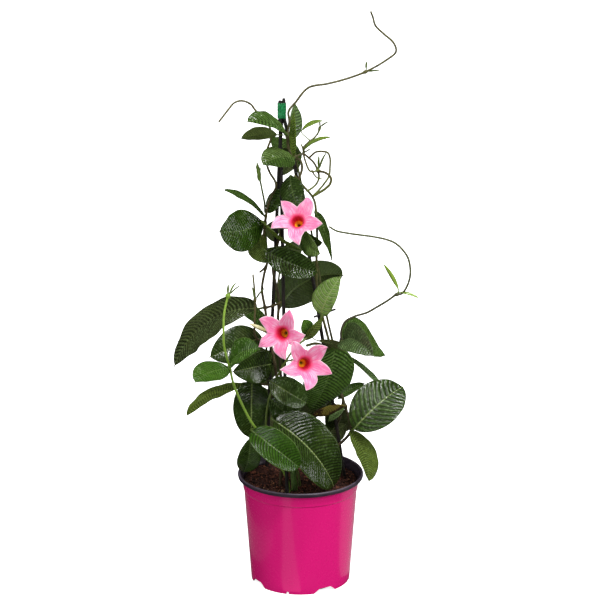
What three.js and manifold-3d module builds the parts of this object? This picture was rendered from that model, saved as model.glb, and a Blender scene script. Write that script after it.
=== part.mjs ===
// A climbing mandevilla in a round nursery pot: twining stems round a tripod of canes, glossy leaves, three open flowers.
// Millimetres, +Z up. The origin is the centre of the pot's base, on its resting face.
import * as THREE from "three";
import { mergeVertices } from "three/addons/utils/BufferGeometryUtils.js";
import Module from "manifold-3d";

const wasm = await Module();
wasm.setup();

// ---------------------------------------------------------------- driving dimensions
const POT_HEIGHT = 134.4;
const RIM_RADIUS = 75;
const RIM_HEIGHT = 5; // rolled lip
const BAND_HEIGHT = 13.8; // stepped band under the lip
const BAND_STEP = 0.9;
const BODY_TOP_RADIUS = 69.5; // outside, just under the lip
const BASE_RADIUS = 59.0;
const WALL = 1.4;
const FOOT_HEIGHT = 4; // channel under the floor, between the centre disc and the foot ring
const DISC_RADIUS = 48; // flat centre of the base
const NOTCH_BIG = { width: 25, height: 7.2 }; // drain cut-outs in the foot ring
const NOTCH_SMALL = { width: 3, height: 3 };
const NOTCH_ANGLES = [-60, 30, 120, 210]; // big ones, degrees from the front; small ones lie between them
const SOIL_TOP = 127;
const SOIL_DOME = 2; // the middle stands above the edge
const CANE_RADIUS = 2.1;
const TIE = { wall: 0.4, low: 569.6, high: 587.8 };
const GAP = 0.35; // clearance between neighbouring pieces
const LEAF_HALF = 0.5; // half thickness of a blade at its midrib
const PETIOLE_RADIUS = 1.0;
const PETAL_THICKNESS = 0.7;
const SEGMENTS = 32; // round the pot

// ---------------------------------------------------------------- tables
// Each stem: points on its centre line, radius at its start and at its tip, spacing of its sections.
const STEMS = {
  paths: {
    left_vine: {p: [[-24.0, -24.0, 112.0], [-24.0, -24.0, 127.0], [-20.7, -27.0, 184.4], [-25.3, -27.0, 234.5], [-29.9, -25.0, 277.3], [-36.9, -21.0, 313.1], [-41.5, -18.0, 345.3], [-44.9, -16.0, 366.7], [-42.6, -14.0, 384.4], [-39.0, -12.0, 398.4], [-40.1, -12.0, 414.2], [-42.4, -12.0, 432.4], [-40.0, -12.0, 455.4], [-37.7, -9.0, 467.8], [-33.0, -6.0, 479.0], [-28.4, -1.0, 487.2], [-29.6, 3.0, 493.3], [-35.4, 7.0, 501.8], [-38.9, 9.0, 510.9], [-40.0, 10.0, 522.6], [-37.7, 11.0, 532.0], [-34.2, 12.0, 542.5], [-35.3, 12.0, 554.4], [-42.2, 11.0, 567.8], [-51.6, 9.0, 575.7], [-57.1, 6.0, 584.0], [-67.0, 2.0, 589.3], [-76.1, -3.0, 588.2], [-82.5, -8.0, 581.9], [-88.9, -12.0, 574.4], [-93.4, -15.0, 569.1]], r: [2.0, 1.1], d: 12},
    left_branch: {p: [[-27.2, -26.3, 252.3], [-45.3, -22.0, 252.7], [-59.4, -20.0, 257.0]], r: [1.5, 1.3], d: 10},
    centre_vine: {p: [[-10.0, -8.0, 112.0], [-10.0, -8.0, 127.0], [-19.6, -8.0, 177.4], [-21.9, -6.0, 227.0], [-24.2, -8.0, 277.7], [-25.2, -9.0, 315.3], [-26.4, -9.0, 330.1], [-25.2, -8.0, 351.9], [-28.7, -7.0, 370.0], [-32.1, -6.0, 388.0], [-29.7, -6.0, 406.3], [-23.9, -7.0, 431.0], [-18.0, -9.0, 455.8], [-14.5, -10.0, 474.1], [-11.0, -11.0, 486.4], [-5.2, -11.0, 494.8], [0.6, -11.0, 506.8], [1.7, -11.0, 515.2], [-0.6, -10.0, 522.1], [-7.5, -8.0, 525.1], [-13.3, -7.0, 533.2], [-15.0, -7.0, 545.1], [-14.4, -7.0, 557.0], [-12.9, -7.0, 567.7], [-13.8, -6.0, 578.5], [-5.5, -3.0, 589.1], [9.1, 2.0, 604.8], [31.1, 6.0, 608.5], [49.4, 8.0, 612.8], [75.0, 8.0, 622.2], [100.3, 5.0, 637.9], [109.3, 3.0, 646.8], [106.5, 0.0, 657.8], [94.5, -4.0, 669.8], [85.3, -7.0, 679.8], [82.4, -9.0, 689.6], [80.0, -10.0, 696.2]], r: [2.0, 1.1], d: 12.5},
    right_vine: {p: [[32.0, -2.0, 112.0], [32.0, -2.0, 127.0], [36.4, -1.0, 146.8], [42.3, -2.0, 165.6], [48.2, -2.0, 171.4], [54.1, -3.0, 178.1], [58.8, -3.0, 184.4], [61.2, -2.0, 190.3], [57.6, 3.0, 201.2], [52.9, 9.0, 214.1], [48.1, 13.0, 230.4], [42.1, 14.0, 257.7], [34.9, 14.0, 289.0], [27.7, 14.0, 317.6], [21.8, 13.0, 345.2], [18.8, 11.0, 370.5], [18.7, 8.0, 393.5], [19.3, 5.0, 415.2], [19.2, 3.0, 434.1], [18.0, 0.0, 455.6], [16.8, -2.0, 468.2], [13.3, -3.0, 476.9], [5.2, -4.0, 486.9], [-1.8, -3.5, 495.1], [-6.4, -2.0, 500.7]], r: [1.9, 1.35], d: 14},
    right_shoot: {p: [[38.4, 8.0, 284.8], [43.0, 3.0, 291.4], [47.7, -3.0, 299.6], [47.6, -6.0, 311.8], [52.2, -6.0, 324.2], [63.4, -5.0, 330.7], [78.0, -3.0, 334.8], [89.2, -1.0, 340.7], [103.8, 0.0, 349.7], [112.7, 0.0, 356.2], [117.8, -1.0, 357.1], [122.6, -2.0, 362.7], [127.5, -3.0, 376.0], [128.2, -3.0, 388.8], [125.6, -2.0, 401.3], [118.9, -1.0, 411.5], [109.9, 1.0, 419.1], [99.8, 2.0, 422.9], [84.2, 4.0, 425.7], [70.8, 5.0, 427.3], [55.2, 7.0, 429.0], [41.9, 9.0, 431.3], [34.1, 10.0, 435.7]], r: [1.4, 1.15], d: 12},
    green_shoot: {p: [[-1.0, -30.0, 112.0], [-1.0, -30.0, 127.0], [-3.0, -25.5, 142.0], [-10.0, -21.5, 158.0], [-20.0, -24.0, 170.0], [-32.0, -31.5, 182.0], [-40.0, -37.0, 198.0], [-40.5, -38.0, 213.5], [-39.3, -38.0, 226.0], [-36.9, -38.0, 238.4], [-33.4, -38.0, 250.8], [-28.7, -41.0, 264.3], [-22.8, -43.0, 278.6], [-16.9, -43.0, 288.4], [-11.1, -41.0, 297.6], [-4.1, -35.0, 304.2], [4.1, -27.0, 308.9], [13.4, -20.0, 317.7], [20.5, -17.0, 324.1], [24.0, -15.0, 332.0], [25.1, -14.0, 336.0]], r: [1.6, 1.1], d: 13},
    left_shoot: {p: [[-13.5, -46.5, 112.0], [-13.5, -46.5, 127.0], [-15.0, -47.0, 140.0], [-22.0, -47.0, 156.0], [-33.0, -47.0, 171.0], [-44.0, -47.0, 183.0], [-52.2, -48.0, 192.2], [-50.4, -52.0, 203.6], [-59.0, -56.0, 220.0], [-70.5, -60.0, 246.2], [-78.5, -62.0, 269.1], [-81.8, -62.0, 285.1], [-85.2, -64.0, 299.3], [-88.5, -66.0, 315.8], [-88.9, -66.0, 334.1], [-88.3, -62.0, 351.0], [-86.0, -58.0, 363.1], [-83.7, -56.0, 372.1]], r: [1.7, 1.3], d: 15},
    second_shoot: {p: [[-35.9, -21.9, 304.4], [-47.3, -28.0, 308.0], [-53.1, -31.0, 315.2], [-53.6, -32.0, 329.0], [-53.0, -31.0, 347.0], [-52.9, -30.0, 358.9], [-53.5, -30.0, 371.1], [-55.1, -30.0, 389.4]], r: [1.4, 1.1], d: 12},
    bud_stalk: {p: [[-41.1, -15.0, 461.1], [-41.6, -17.0, 472.5], [-43.9, -19.0, 486.3], [-46.7, -20.0, 500.9]], r: [1.2, 1.1], d: 12},
    tangle_1: {p: [[2.9, -9.0, 530.1], [9.8, -6.0, 523.4], [15.6, -3.0, 516.6], [20.2, -2.0, 506.7], [21.4, -2.0, 499.5], [19.1, -4.0, 492.9], [13.3, -8.0, 488.0], [7.5, -10.0, 484.9]], r: [1.2, 1.2], d: 5},
    tangle_2: {p: [[2.9, -9.0, 530.0], [5.2, -12.0, 522.6], [7.5, -14.0, 516.0], [10.9, -13.0, 509.7], [15.6, -9.0, 508.0], [20.2, -4.0, 508.5]], r: [1.1, 1.1], d: 5},
    tangle_3: {p: [[9.8, -6.0, 523.4], [13.2, -0.6, 525.4], [17.9, 6.0, 527.3], [26.0, 9.0, 527.1], [31.9, 11.0, 524.8], [34.2, 11.0, 518.8], [34.2, 9.0, 507.3], [33.1, 6.0, 498.5], [27.2, 2.0, 490.0], [20.3, -3.0, 483.0], [15.6, -6.0, 479.0]], r: [1.15, 1.25], d: 5},
    tangle_4: {p: [[20.4, -2.4, 506.9], [29.4, -8.0, 506.0], [35.2, -9.0, 500.3], [34.1, -9.0, 493.1], [28.3, -8.0, 486.8], [19.1, -7.0, 480.5], [14.5, -6.0, 477.8]], r: [1.4, 1.6], d: 5},
    top_stem: {p: [[-7.5, -12.0, 525.6], [-1.8, -11.0, 528.3], [2.9, -9.0, 530.1], [4.0, -7.0, 536.8], [9.8, -4.0, 541.9], [15.6, -1.0, 545.9], [20.2, 1.0, 551.3], [22.5, 2.0, 558.2]], r: [1.4, 1.0], d: 5.5},
    back_shoot_left: {p: [[-12.0, 42.0, 112.0], [-12.0, 42.0, 127.0], [-22.0, 50.0, 165.0], [-34.0, 55.0, 205.0], [-41.0, 47.0, 250.0], [-38.0, 37.0, 300.0], [-28.0, 33.0, 350.0], [-22.0, 31.0, 400.0], [-20.0, 24.0, 440.0]], r: [1.6, 1.1], d: 22},
    back_shoot_right: {p: [[26, 30, 112], [26, 30, 127], [36, 36, 160], [49, 30, 200], [50, 29, 240], [40, 31, 280], [29, 31, 330], [19, 29, 390], [10, 25, 440], [2, 21, 480], [-6, 19, 520], [-11, 18, 552]], r: [1.6, 1.1], d: 22},
    left_stub: {p: [[-39.0, -12.0, 397.6], [-42.5, -13.0, 392.0], [-47.2, -14.0, 388.1]], r: [1.3, 1.2], d: 5},
    left_spur: {p: [[-41.5, -18.0, 345.3], [-29.8, -14.5, 347.9], [-19.3, -13.5, 352.4]], r: [1.5, 1.4], d: 10},
    right_spur: {p: [[34.9, 14.0, 282.7], [27.8, 11.5, 288.6], [17.1, 6.0, 293.5], [7.7, 2.0, 292.4]], r: [1.6, 1.7], d: 10},
    old_stem: {p: [[-7.0, -39.0, 112.0], [-7.0, -39.0, 127.0], [-8.5, -34.0, 150.0], [-9.0, -27.0, 172.0]], r: [4.0, 3.2], d: 15},
    curl_1: {p: [[3.4, -8.0, 533.5], [2.3, -8.0, 537.0], [0.6, -8.0, 540.0]], r: [0.95, 0.8], d: 3},
    curl_2: {p: [[2.6, -9.1, 529.9], [7.5, -10.0, 533.0], [10.3, -10.0, 534.8]], r: [0.95, 0.8], d: 3},
    curl_3: {p: [[13.3, -11.0, 509.8], [15.0, -11.0, 506.2], [19.0, -10.0, 501.1], [24.3, -9.0, 499.1]], r: [0.95, 0.8], d: 4},
  },
  nodes: {
    old_stem: {parts: ["old_stem"], young: [], colour: "stem", from: true},
    left_vine: {parts: ["left_vine", "left_branch", "second_shoot", "left_stub", "left_spur"], young: ["Y8", "Y9"], colour: "stem", from: true},
    centre_vine: {parts: ["centre_vine"], young: ["Y3", "Y4"], colour: "stem", from: true},
    right_vine: {parts: ["right_vine", "right_spur"], young: ["L28", "L45", "L27"], colour: "stem", from: true},
    right_shoot: {parts: ["right_shoot"], young: ["Y1", "Y2"], colour: "shoot", from: false},
    green_shoot: {parts: ["green_shoot"], young: ["L19", "L20", "L21"], colour: "shoot", from: true},
    left_shoot: {parts: ["left_shoot"], young: ["Y5", "Y6", "Y7"], colour: "shoot", from: true},
    top_shoots: {parts: ["top_stem", "tangle_1", "tangle_2", "tangle_3", "tangle_4", "curl_1", "curl_2", "curl_3"], young: ["L3b", "L4", "L5", "Y10", "Y11", "Y12", "Y13"], colour: "shoot", from: false},
    bud_stalk: {parts: ["bud_stalk"], young: [], colour: "shoot", from: false},
    back_shoot_left: {parts: ["back_shoot_left"], young: ["BL1", "BL2", "BL3", "BL4", "BL5", "BL6", "BL7"], colour: "stem", from: true},
    back_shoot_right: {parts: ["back_shoot_right"], young: ["BR1", "BR2", "BR3", "BR4", "BR5", "BR6", "BR7"], colour: "stem", from: true},
  },
};

// Each cane: foot, straight part, and the place in the bundle at the top.
const CANES = {
  cane_right: [[59.36, 8.85, 82.0], [33.6, 5.41, 250.0], [7.54, 1.94, 420.0], [-7.8, -0.11, 520.0], [-19.24, -1.3, 571.0], [-19.24, -1.3, 592.9]],
  cane_front: [[-14.97, -57.53, 82.0], [-17.89, -39.05, 250.0], [-20.85, -20.35, 420.0], [-22.59, -9.35, 520.0], [-23.76, -1.3, 571.0], [-23.76, -1.3, 590.4]],
  cane_left: [[-41.4, 44.2, 100.0], [-36.36, 33.8, 250.0], [-28.83, 18.36, 420.0], [-24.4, 9.28, 520.0], [-21.5, 2.61, 571.0], [-21.5, 2.61, 588.9]],
};
const PEG = [[16.4, -0.37999999999999945, 328.7], [28.0, -0.37999999999999945, 333.3], [40.5, -0.37999999999999945, 337.9]]; // cross peg clipped on the right cane

// Each leaf: blade base x y z, heading, pitch and roll in degrees, length, width,
// bend, fold, sweep and twist in degrees, outline exponent, cup, the point on the stem it grows from, stem radius.
const LEAVES = [
  ["leaf_top_front_1", [[-7.5, -19.9, 527.1, 236.2, 24.3, 321.4, 65.1, 35.4, 32.4, 4.1, 19.7, 13.7, 0.95, 0.08, -7.0, -8.1, 524.7, 1.8]], "leaf"],
  ["leaf_top_front_2", [[-15.6, -12.7, 552.5, 233.5, 50.5, 320.5, 71.7, 38.4, 54.0, 11.6, 14.3, 12.3, 0.909, 0.08, -14.9, -7.0, 550.8, 1.8]], "leaf"],
  ["leaf_upper_left_1", [[-43.4, -12.2, 447.0, 238.7, -3.9, 287.9, 91.5, 49.0, -0.7, -0.9, -23.1, -8.7, 0.923, 0.08, -41.2, -12.2, 446.9, 1.9]], "leaf"],
  ["leaf_top_front_3", [[-12.2, -11.4, 503.3, 272.0, -29.6, 19.7, 51.5, 28.9, 39.7, 10.2, 10.7, -2.4, 0.965, 0.08, -3.5, -11.0, 497.9, 1.8]], "leaf"],
  ["leaf_upper_front_1", [[-41.2, -34.6, 420.8, 323.7, -18.9, 68.9, 71.4, 36.8, 57.4, 30.4, 11.8, -12.6, 0.99, 0.08, -40.1, -12.0, 414.2, 1.9]], "leaf"],
  ["leaf_middle_left_1", [[-82.0, -61.6, 288.7, 288.2, 55.0, 74.9, 67.2, 37.1, 48.6, 20.5, -25.6, -3.0, 0.951, 0.08, -82.7, -62.4, 288.7, 1.5]], "leaf"],
  ["leaf_top_left_1", [[-27.1, -6.8, 551.5, 159.0, 3.5, 54.8, 44.8, 23.7, 36.8, 13.2, -2.5, 0.8, 0.917, 0.08, -14.9, -7.0, 550.8, 1.8]], "leaf"],
  ["leaf_upper_front_2", [[-44.5, -23.7, 451.6, 328.3, -40.1, 141.8, 60.6, 25.5, 25.3, 7.0, 0.8, -6.2, 0.928, 0.08, -41.1, -12.2, 447.5, 1.9]], "leaf"],
  ["leaf_middle_right_1", [[49.5, -41.2, 311.9, 285.8, 36.7, 58.8, 79.0, 42.1, 55.5, 32.8, -42.6, 2.0, 0.871, 0.08, 47.7, -3.0, 299.6, 1.1]], "leaf"],
  ["leaf_middle_left_2", [[-81.7, -61.9, 285.3, 213.2, 12.5, 332.6, 62.9, 35.2, 11.2, 9.4, 39.5, 12.1, 0.965, 0.08, -81.8, -62.0, 285.1, 1.5]], "leaf"],
  ["leaf_upper_front_3", [[1.7, -15.1, 435.8, 278.6, -25.3, 75.9, 46.0, 25.5, 38.5, 11.4, 17.7, -2.4, 0.966, 0.08, -21.7, -7.7, 440.1, 1.8]], "leaf"],
  ["leaf_top_left_2", [[-41.1, -12.0, 455.4, 194.2, 52.4, 353.7, 63.3, 28.6, 33.3, 10.3, 3.8, -4.9, 0.929, 0.08, -40.0, -12.0, 455.4, 1.9]], "leaf"],
  ["leaf_top_back_1", [[-7.5, 5.2, 544.2, 66.4, 68.6, 61.0, 43.5, 20.5, 28.4, 8.5, -9.5, 5.1, 0.884, 0.08, -15.0, -7.0, 547.6, 1.8]], "leaf"],
  ["leaf_upper_front_4", [[2.8, -4.0, 434.9, 289.1, -17.9, 114.8, 41.6, 22.5, 37.7, 11.0, 8.7, -2.6, 0.951, 0.08, -21.2, -7.8, 441.9, 1.8]], "leaf"],
  ["leaf_top_front_4", [[-19.2, 1.2, 483.1, 213.2, -33.7, 325.7, 35.2, 19.6, 46.5, 15.8, 9.4, -4.4, 0.933, 0.08, -12.0, -10.8, 483.9, 1.8]], "leaf"],
  ["leaf_low_front_1", [[-56.1, -75.8, 213.4, 313.9, -14.8, 35.3, 74.7, 42.7, 74.4, 25.5, 16.2, 5.0, 0.912, 0.08, -52.0, -53.2, 207.7, 1.5]], "leaf"],
  ["leaf_middle_right_2", [[23.8, -23.8, 339.6, 297.8, 64.4, 113.7, 57.7, 36.8, 32.2, 33.8, -6.2, 3.6, 0.819, 0.08, 25.1, -14.0, 336.0, 1.6]], "leaf"],
  ["leaf_upper_left_2", [[-45.1, 10.6, 424.6, 258.8, -5.2, 40.3, 56.8, 34.7, 47.9, 28.0, 8.9, 6.9, 0.923, 0.08, -42.4, -12.0, 431.1, 1.9]], "leaf"],
  ["leaf_upper_right_1", [[16.8, -2.2, 457.4, 8.0, -59.3, 33.5, 70.4, 30.7, 26.0, 4.0, -1.4, -22.2, 0.849, 0.08, 17.9, -0.2, 457.1, 1.7]], "leaf"],
  ["leaf_middle_left_3", [[-45.1, -18.4, 308.6, 219.0, 0.1, 304.1, 72.0, 47.0, 34.5, 17.3, 6.3, -7.2, 0.908, 0.08, -36.6, -21.2, 311.4, 1.9]], "leaf"],
  ["leaf_low_front_2", [[-35.8, -45.5, 264.7, 331.7, -22.9, 49.9, 57.5, 35.7, 64.8, 21.2, 14.8, -2.0, 0.908, 0.08, -30.2, -40.1, 260.3, 1.6]], "leaf"],
  ["leaf_middle_left_4", [[-33.4, -20.7, 277.2, 242.2, 13.9, 272.4, 64.1, 41.3, 43.0, 19.9, 18.7, -7.6, 0.859, 0.08, -30.2, -24.8, 279.2, 1.9]], "leaf"],
  ["leaf_low_front_3", [[-35.8, -40.6, 240.6, 329.0, -36.3, 59.6, 49.6, 27.9, 48.7, 14.1, 6.9, -1.4, 0.922, 0.08, -36.7, -38.0, 239.6, 1.6]], "leaf"],
  ["leaf_low_front_4", [[-30.9, -58.3, 219.9, 354.5, -30.0, 37.8, 125.1, 69.0, 55.2, 20.7, -7.0, 17.7, 0.778, 0.08, -22.5, -27.3, 210.1, 1.9]], "leaf"],
  ["leaf_middle_left_5", [[-51.9, -18.4, 344.5, 153.3, -1.9, 345.8, 138.3, 77.9, 57.1, 3.2, 53.6, -21.2, 0.902, 0.08, -41.6, -17.9, 346.0, 1.9]], "leaf"],
  ["leaf_low_left_1", [[-57.1, -20.2, 256.1, 266.9, -50.9, 352.6, 77.2, 45.9, 67.7, 16.0, 10.0, -3.8, 0.804, 0.08, -57.1, -20.3, 256.2, 1.3]], "leaf"],
  ["leaf_low_left_2", [[-59.2, -49.4, 195.0, 276.1, -77.8, 358.9, 52.1, 29.2, 52.3, 16.8, -13.9, -3.0, 1.08, 0.08, -52.2, -48.3, 193.0, 1.5]], "leaf"],
  ["leaf_low_right_1", [[40.3, -28.1, 300.8, 127.8, -80.9, 197.9, 107.4, 62.4, 32.8, 7.2, -10.4, -1.4, 0.773, 0.08, 41.5, 4.7, 289.1, 1.1]], "leaf"],
  ["leaf_low_left_3", [[-67.9, -3.2, 247.2, 205.3, 6.3, 5.4, 92.1, 50.4, 46.3, -0.3, 18.6, 16.0, 0.889, 0.08, -59.4, -20.0, 257.0, 1.3]], "leaf"],
  ["leaf_dry", [[52.6, -4.4, 218.5, 212.4, -9.6, 226.7, 44.0, 23.8, 20.0, -1.8, 10.2, 12.6, 0.945, 0.08, 53.1, 8.8, 213.6, 1.7]], "dry"],
  ["leaf_low_right_3", [[63.2, -16.9, 194.4, 355.2, 52.7, 69.2, 89.2, 59.3, 72.4, 17.8, -4.8, -0.3, 0.904, 0.08, 61.2, -2.3, 189.5, 1.7]], "leaf"],
  ["leaf_middle_right_3", [[48.7, -3.7, 301.1, 32.0, 6.8, 54.8, 89.9, 56.8, 67.7, 7.9, -27.5, -29.5, 0.841, 0.08, 47.9, -3.6, 301.2, 1.1]], "leaf"],
  ["leaf_low_right_4", [[59.6, -2.6, 188.1, 313.1, -32.9, 346.8, 75.5, 42.4, 24.8, 15.2, -26.1, -9.7, 0.931, 0.08, 61.0, -2.6, 188.2, 1.7]], "leaf"],
  ["leaf_middle_back_1", [[-23.3, 24.5, 334.2, 68.5, 32.0, 215.0, 99.5, 55.4, 80.2, 33.2, 79.6, -11.2, 0.851, 0.08, -25.3, -8.4, 344.6, 1.8]], "leaf"],
  ["leaf_low_right_5", [[51.7, 29.6, 272.3, 347.4, -27.3, 348.5, 72.4, 30.4, 26.1, 5.2, 5.0, 4.7, 0.929, 0.08, 38.4, 14.1, 274.2, 1.7]], "leaf"],
];

// Small leaves and shoot tips that are joined to the stem they grow from.
const YOUNG = {
  L19: [11.0, -18.8, 313.6, 255.4, 46.3, 232.1, 27.7, 17.0, 26.7, 3.6, -5.7, -5.7, 0.972, 0.08, 10.4, -22.0, 314.8, 1.6],
  L20: [4.1, -23.1, 307.5, 325.2, 44.0, 134.6, 38.7, 12.9, 38.0, 18.7, -4.2, -0.1, 0.879, 0.08, 4.1, -27.0, 308.9, 1.6],
  L21: [20.4, -39.0, 312.3, 13.2, -11.6, 322.6, 43.7, 17.7, 27.6, 8.5, -5.8, -16.0, 0.977, 0.08, 10.8, -21.7, 315.2, 1.6],
  L3b: [-8.6, -15.3, 528.2, 261.9, 74.8, 128.1, 58.7, 19.7, 14.2, 5.2, 13.0, -11.7, 0.876, 0.08, -7.5, -12.0, 525.6, 1.2],
  L4: [1.6, 0.6, 555.0, 344.5, 45.7, 26.1, 28.6, 10.4, 42.4, 16.3, -2.8, -0.5, 0.914, 0.08, 11.2, -3.2, 543.0, 1.2],
  L5: [4.0, -10.5, 535.3, 343.6, 46.0, 16.0, 36.9, 13.3, 40.0, 15.3, -1.0, -3.2, 0.909, 0.08, 3.5, -7.6, 534.9, 1.2],
  Y10: [21.6, -3.0, 510.6, 330.1, 70.6, 0.0, 23.6, 4.6, 12.0, 25.0, 0.0, 0.0, 0.9, 0.05, 20.8, -3.0, 508.2, 0.9],
  Y11: [20.6, -3.0, 511.2, 80.8, 74.4, 0.0, 15.2, 3.0, 8.0, 25.0, 0.0, 0.0, 0.9, 0.05, 20.8, -3.0, 508.2, 0.9],
  Y12: [22.7, 2.0, 559.2, 180.0, 87.1, 0.0, 8.1, 4.2, 6.0, 25.0, 0.0, 0.0, 0.9, 0.05, 22.5, 2.0, 557.0, 0.8],
  Y13: [23.6, 2.0, 559.4, 335.0, 41.9, 0.0, 11.5, 4.4, 16.0, 25.0, 0.0, 0.0, 0.9, 0.05, 22.5, 2.0, 557.0, 0.8],
  L28: [51.7, 3.8, 215.9, 214.9, -29.5, 328.7, 27.4, 11.1, 34.9, 13.7, -8.3, 0.3, 0.922, 0.08, 52.9, 9.0, 214.1, 1.7],
  L45: [53.0, 11.6, 190.5, 153.5, -54.7, 73.8, 33.4, 17.2, 40.4, 13.5, -2.0, 0.8, 0.93, 0.08, 59.2, 1.0, 197.0, 1.7],
  L27: [44.6, 15.5, 220.7, 356.9, 45.8, 31.2, 39.0, 16.4, 37.2, 14.6, -0.0, 2.6, 0.931, 0.08, 49.5, 12.2, 224.6, 1.7],
  Y8: [-53.8, -31.0, 362.3, 228.3, 80.0, 0.0, 15.6, 3.6, 10.0, 25.0, 0.0, 0.0, 0.9, 0.05, -52.9, -30.0, 358.9, 0.9],
  Y9: [-51.5, -31.0, 361.7, 334.2, 58.4, 0.0, 18.6, 4.0, 14.0, 25.0, 0.0, 0.0, 0.9, 0.05, -52.9, -30.0, 358.9, 0.9],
  Y3: [75.4, 8.0, 625.4, 286.3, 83.1, 0.0, 10.2, 3.0, 10.0, 25.0, 0.0, 0.0, 0.9, 0.05, 75.0, 8.0, 622.2, 0.75],
  Y4: [78.1, 8.0, 622.8, 347.6, 13.4, 0.0, 14.1, 3.4, 15.0, 25.0, 0.0, 0.0, 0.9, 0.05, 75.0, 8.0, 622.2, 0.75],
  Y1: [114.8, -1.0, 362.6, 171.2, 63.8, 76.0, 39.0, 6.5, 18.0, 25.0, 0.0, 0.0, 0.9, 0.05, 112.7, 0.0, 356.2, 0.75],
  Y2: [117.1, -2.0, 359.8, 347.4, -9.3, 19.0, 23.8, 6.0, 14.0, 25.0, 0.0, 0.0, 0.9, 0.05, 112.7, 0.0, 356.2, 0.75],
  Y5: [-83.7, -56.0, 373.9, 283.7, 84.1, 0.0, 14.2, 3.2, 5.0, 25.0, 0.0, 0.0, 0.9, 0.05, -83.7, -56.0, 372.1, 0.9],
  Y6: [-81.4, -56.0, 375.1, 341.9, 47.8, 0.0, 17.5, 3.8, 12.0, 25.0, 0.0, 0.0, 0.9, 0.05, -83.7, -56.0, 372.1, 0.9],
  Y7: [-81.9, -55.0, 376.0, 20.3, 60.1, 0.0, 15.2, 3.2, 10.0, 25.0, 0.0, 0.0, 0.9, 0.05, -83.7, -56.0, 372.1, 0.9],
  BL1: [-20.4, 54.7, 175.6, 82.0, 41.2, 17.0, 89.8, 46.7, 39.3, 14.0, -13.7, -3.3, 0.92, 0.08, -22.9, 50.4, 168.1, 1.6],
  BL2: [-39.8, 61.3, 212.2, 120.7, -19.2, 358.7, 88.8, 46.2, 47.1, 14.0, -18.9, 3.1, 0.92, 0.08, -35.2, 53.6, 212.9, 1.6],
  BL3: [-34.9, 62.5, 212.6, 88.0, -17.8, 22.3, 95.0, 49.4, 67.6, 14.0, -15.8, 9.7, 0.92, 0.08, -35.3, 53.6, 213.1, 1.6],
  BL4: [-41.8, 40.9, 298.9, 147.9, 49.6, 1.6, 70.0, 36.4, 61.3, 14.0, -16.6, -1.8, 0.92, 0.08, -38.6, 38.8, 290.8, 1.6],
  BL5: [-40.5, 52.2, 269.3, 93.8, -13.9, 19.9, 89.7, 46.6, 68.5, 14.0, -22.5, -3.0, 0.92, 0.08, -39.9, 43.2, 269.1, 1.6],
  BL6: [-21.5, 39.4, 399.6, 83.3, 8.5, 341.1, 66.3, 34.5, 74.6, 14.0, -0.1, -6.3, 0.92, 0.08, -22.5, 31.2, 396.0, 1.3],
  BL7: [-23.1, 32.7, 438.4, 109.5, -16.3, 345.5, 55.7, 29.0, 62.3, 14.0, 10.3, -6.3, 0.92, 0.08, -20.1, 24.2, 438.6, 1.3],
  BR1: [37.1, 43.5, 170.0, 99.9, -3.2, 32.8, 90.3, 47.0, 45.7, 14.0, 17.7, 6.2, 0.92, 0.08, 38.7, 34.8, 168.2, 1.6],
  BR2: [49.4, 38.7, 200.4, 87.7, -27.0, 33.2, 82.1, 42.7, 45.3, 14.0, 1.7, 5.5, 0.92, 0.08, 49.1, 29.9, 202.3, 1.6],
  BR3: [45.2, 37.2, 223.7, 119.4, -19.8, 4.9, 89.1, 46.3, 56.3, 14.0, 14.6, 3.7, 0.92, 0.08, 49.6, 29.4, 224.4, 1.6],
  BR4: [-8.3, 27.5, 526.2, 96.6, -27.5, 13.4, 54.7, 28.4, 58.2, 14.0, 8.3, 3.7, 0.92, 0.08, -7.3, 18.7, 528.2, 1.3],
  BR5: [38.9, 39.9, 280.1, 95.3, -23.0, 5.1, 85.7, 44.5, 72.9, 14.0, 5.2, -4.0, 0.92, 0.08, 39.7, 31.0, 281.4, 1.3],
  BR6: [7.6, 30.1, 448.7, 111.5, 35.8, 25.3, 67.0, 34.9, 72.9, 14.0, -5.5, 5.9, 0.92, 0.08, 9.7, 24.8, 441.7, 1.3],
  BR7: [-3.5, 22.5, 502.0, 141.9, 51.8, 344.6, 63.4, 33.0, 49.8, 14.0, -24.0, 5.1, 0.92, 0.08, -0.7, 20.3, 493.7, 1.3],
};

// Each flower: centre of the throat, azimuth and elevation of its face, turn, radius, depth of the cup, upward bow of its tube.
const FLOWERS = {
  flower_top: [-3.2, -60.0, 462.4, -9.7, 36.2, 135.9, 31.2, 10.8, 16],
  flower_left: [-20.6, -62.0, 328.5, -18.5, 14.7, 146.1, 30.7, 11.2, 0],
  flower_right: [4.1, -78.0, 297.2, 17.3, 14.3, 114.2, 30.6, 16.1, 0],
};
const PEDICELS = {
  stalk_top: {points: [[-16.0, -8.2, 456.8], [-8.0, -6.0, 459.0], [-0.5, -8.0, 457.5], [4.6, -14.6, 453.2], [3.4, -21.2, 450.3]], r: 1.0, sepal: 2.2},
  stalk_left: {points: [[-22.4, -9.2, 302.0], [-14.0, -9.5, 308.0], [-3.4, -10.6, 314.3], [-5.7, -17.4, 316.2]], r: 1.0, sepal: 2.2, bud: {stem: [[-14.0, -9.5, 308.0], [-24.0, -18.0, 309.5], [-33.0, -25.5, 314.0], [-39.2, -27.0, 319.3]], tip: [[-39.2, -27.0, 319.3], [-48.0, -30.5, 325.0], [-59.4, -34.5, 331.6]]}},
  stalk_right: {points: [[-21.8, -10.0, 272.0], [-18.0, -15.0, 277.5], [-12.0, -26.2, 283.4], [-9.9, -33.0, 285.2]], r: 1.0, sepal: 2.2},
};
// Outline of one petal: degrees from its tip, radius as a share of the flower's radius.
const PETAL = [[-36, 0.452], [-14, 0.72], [0, 1], [20, 0.83]];

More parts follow.
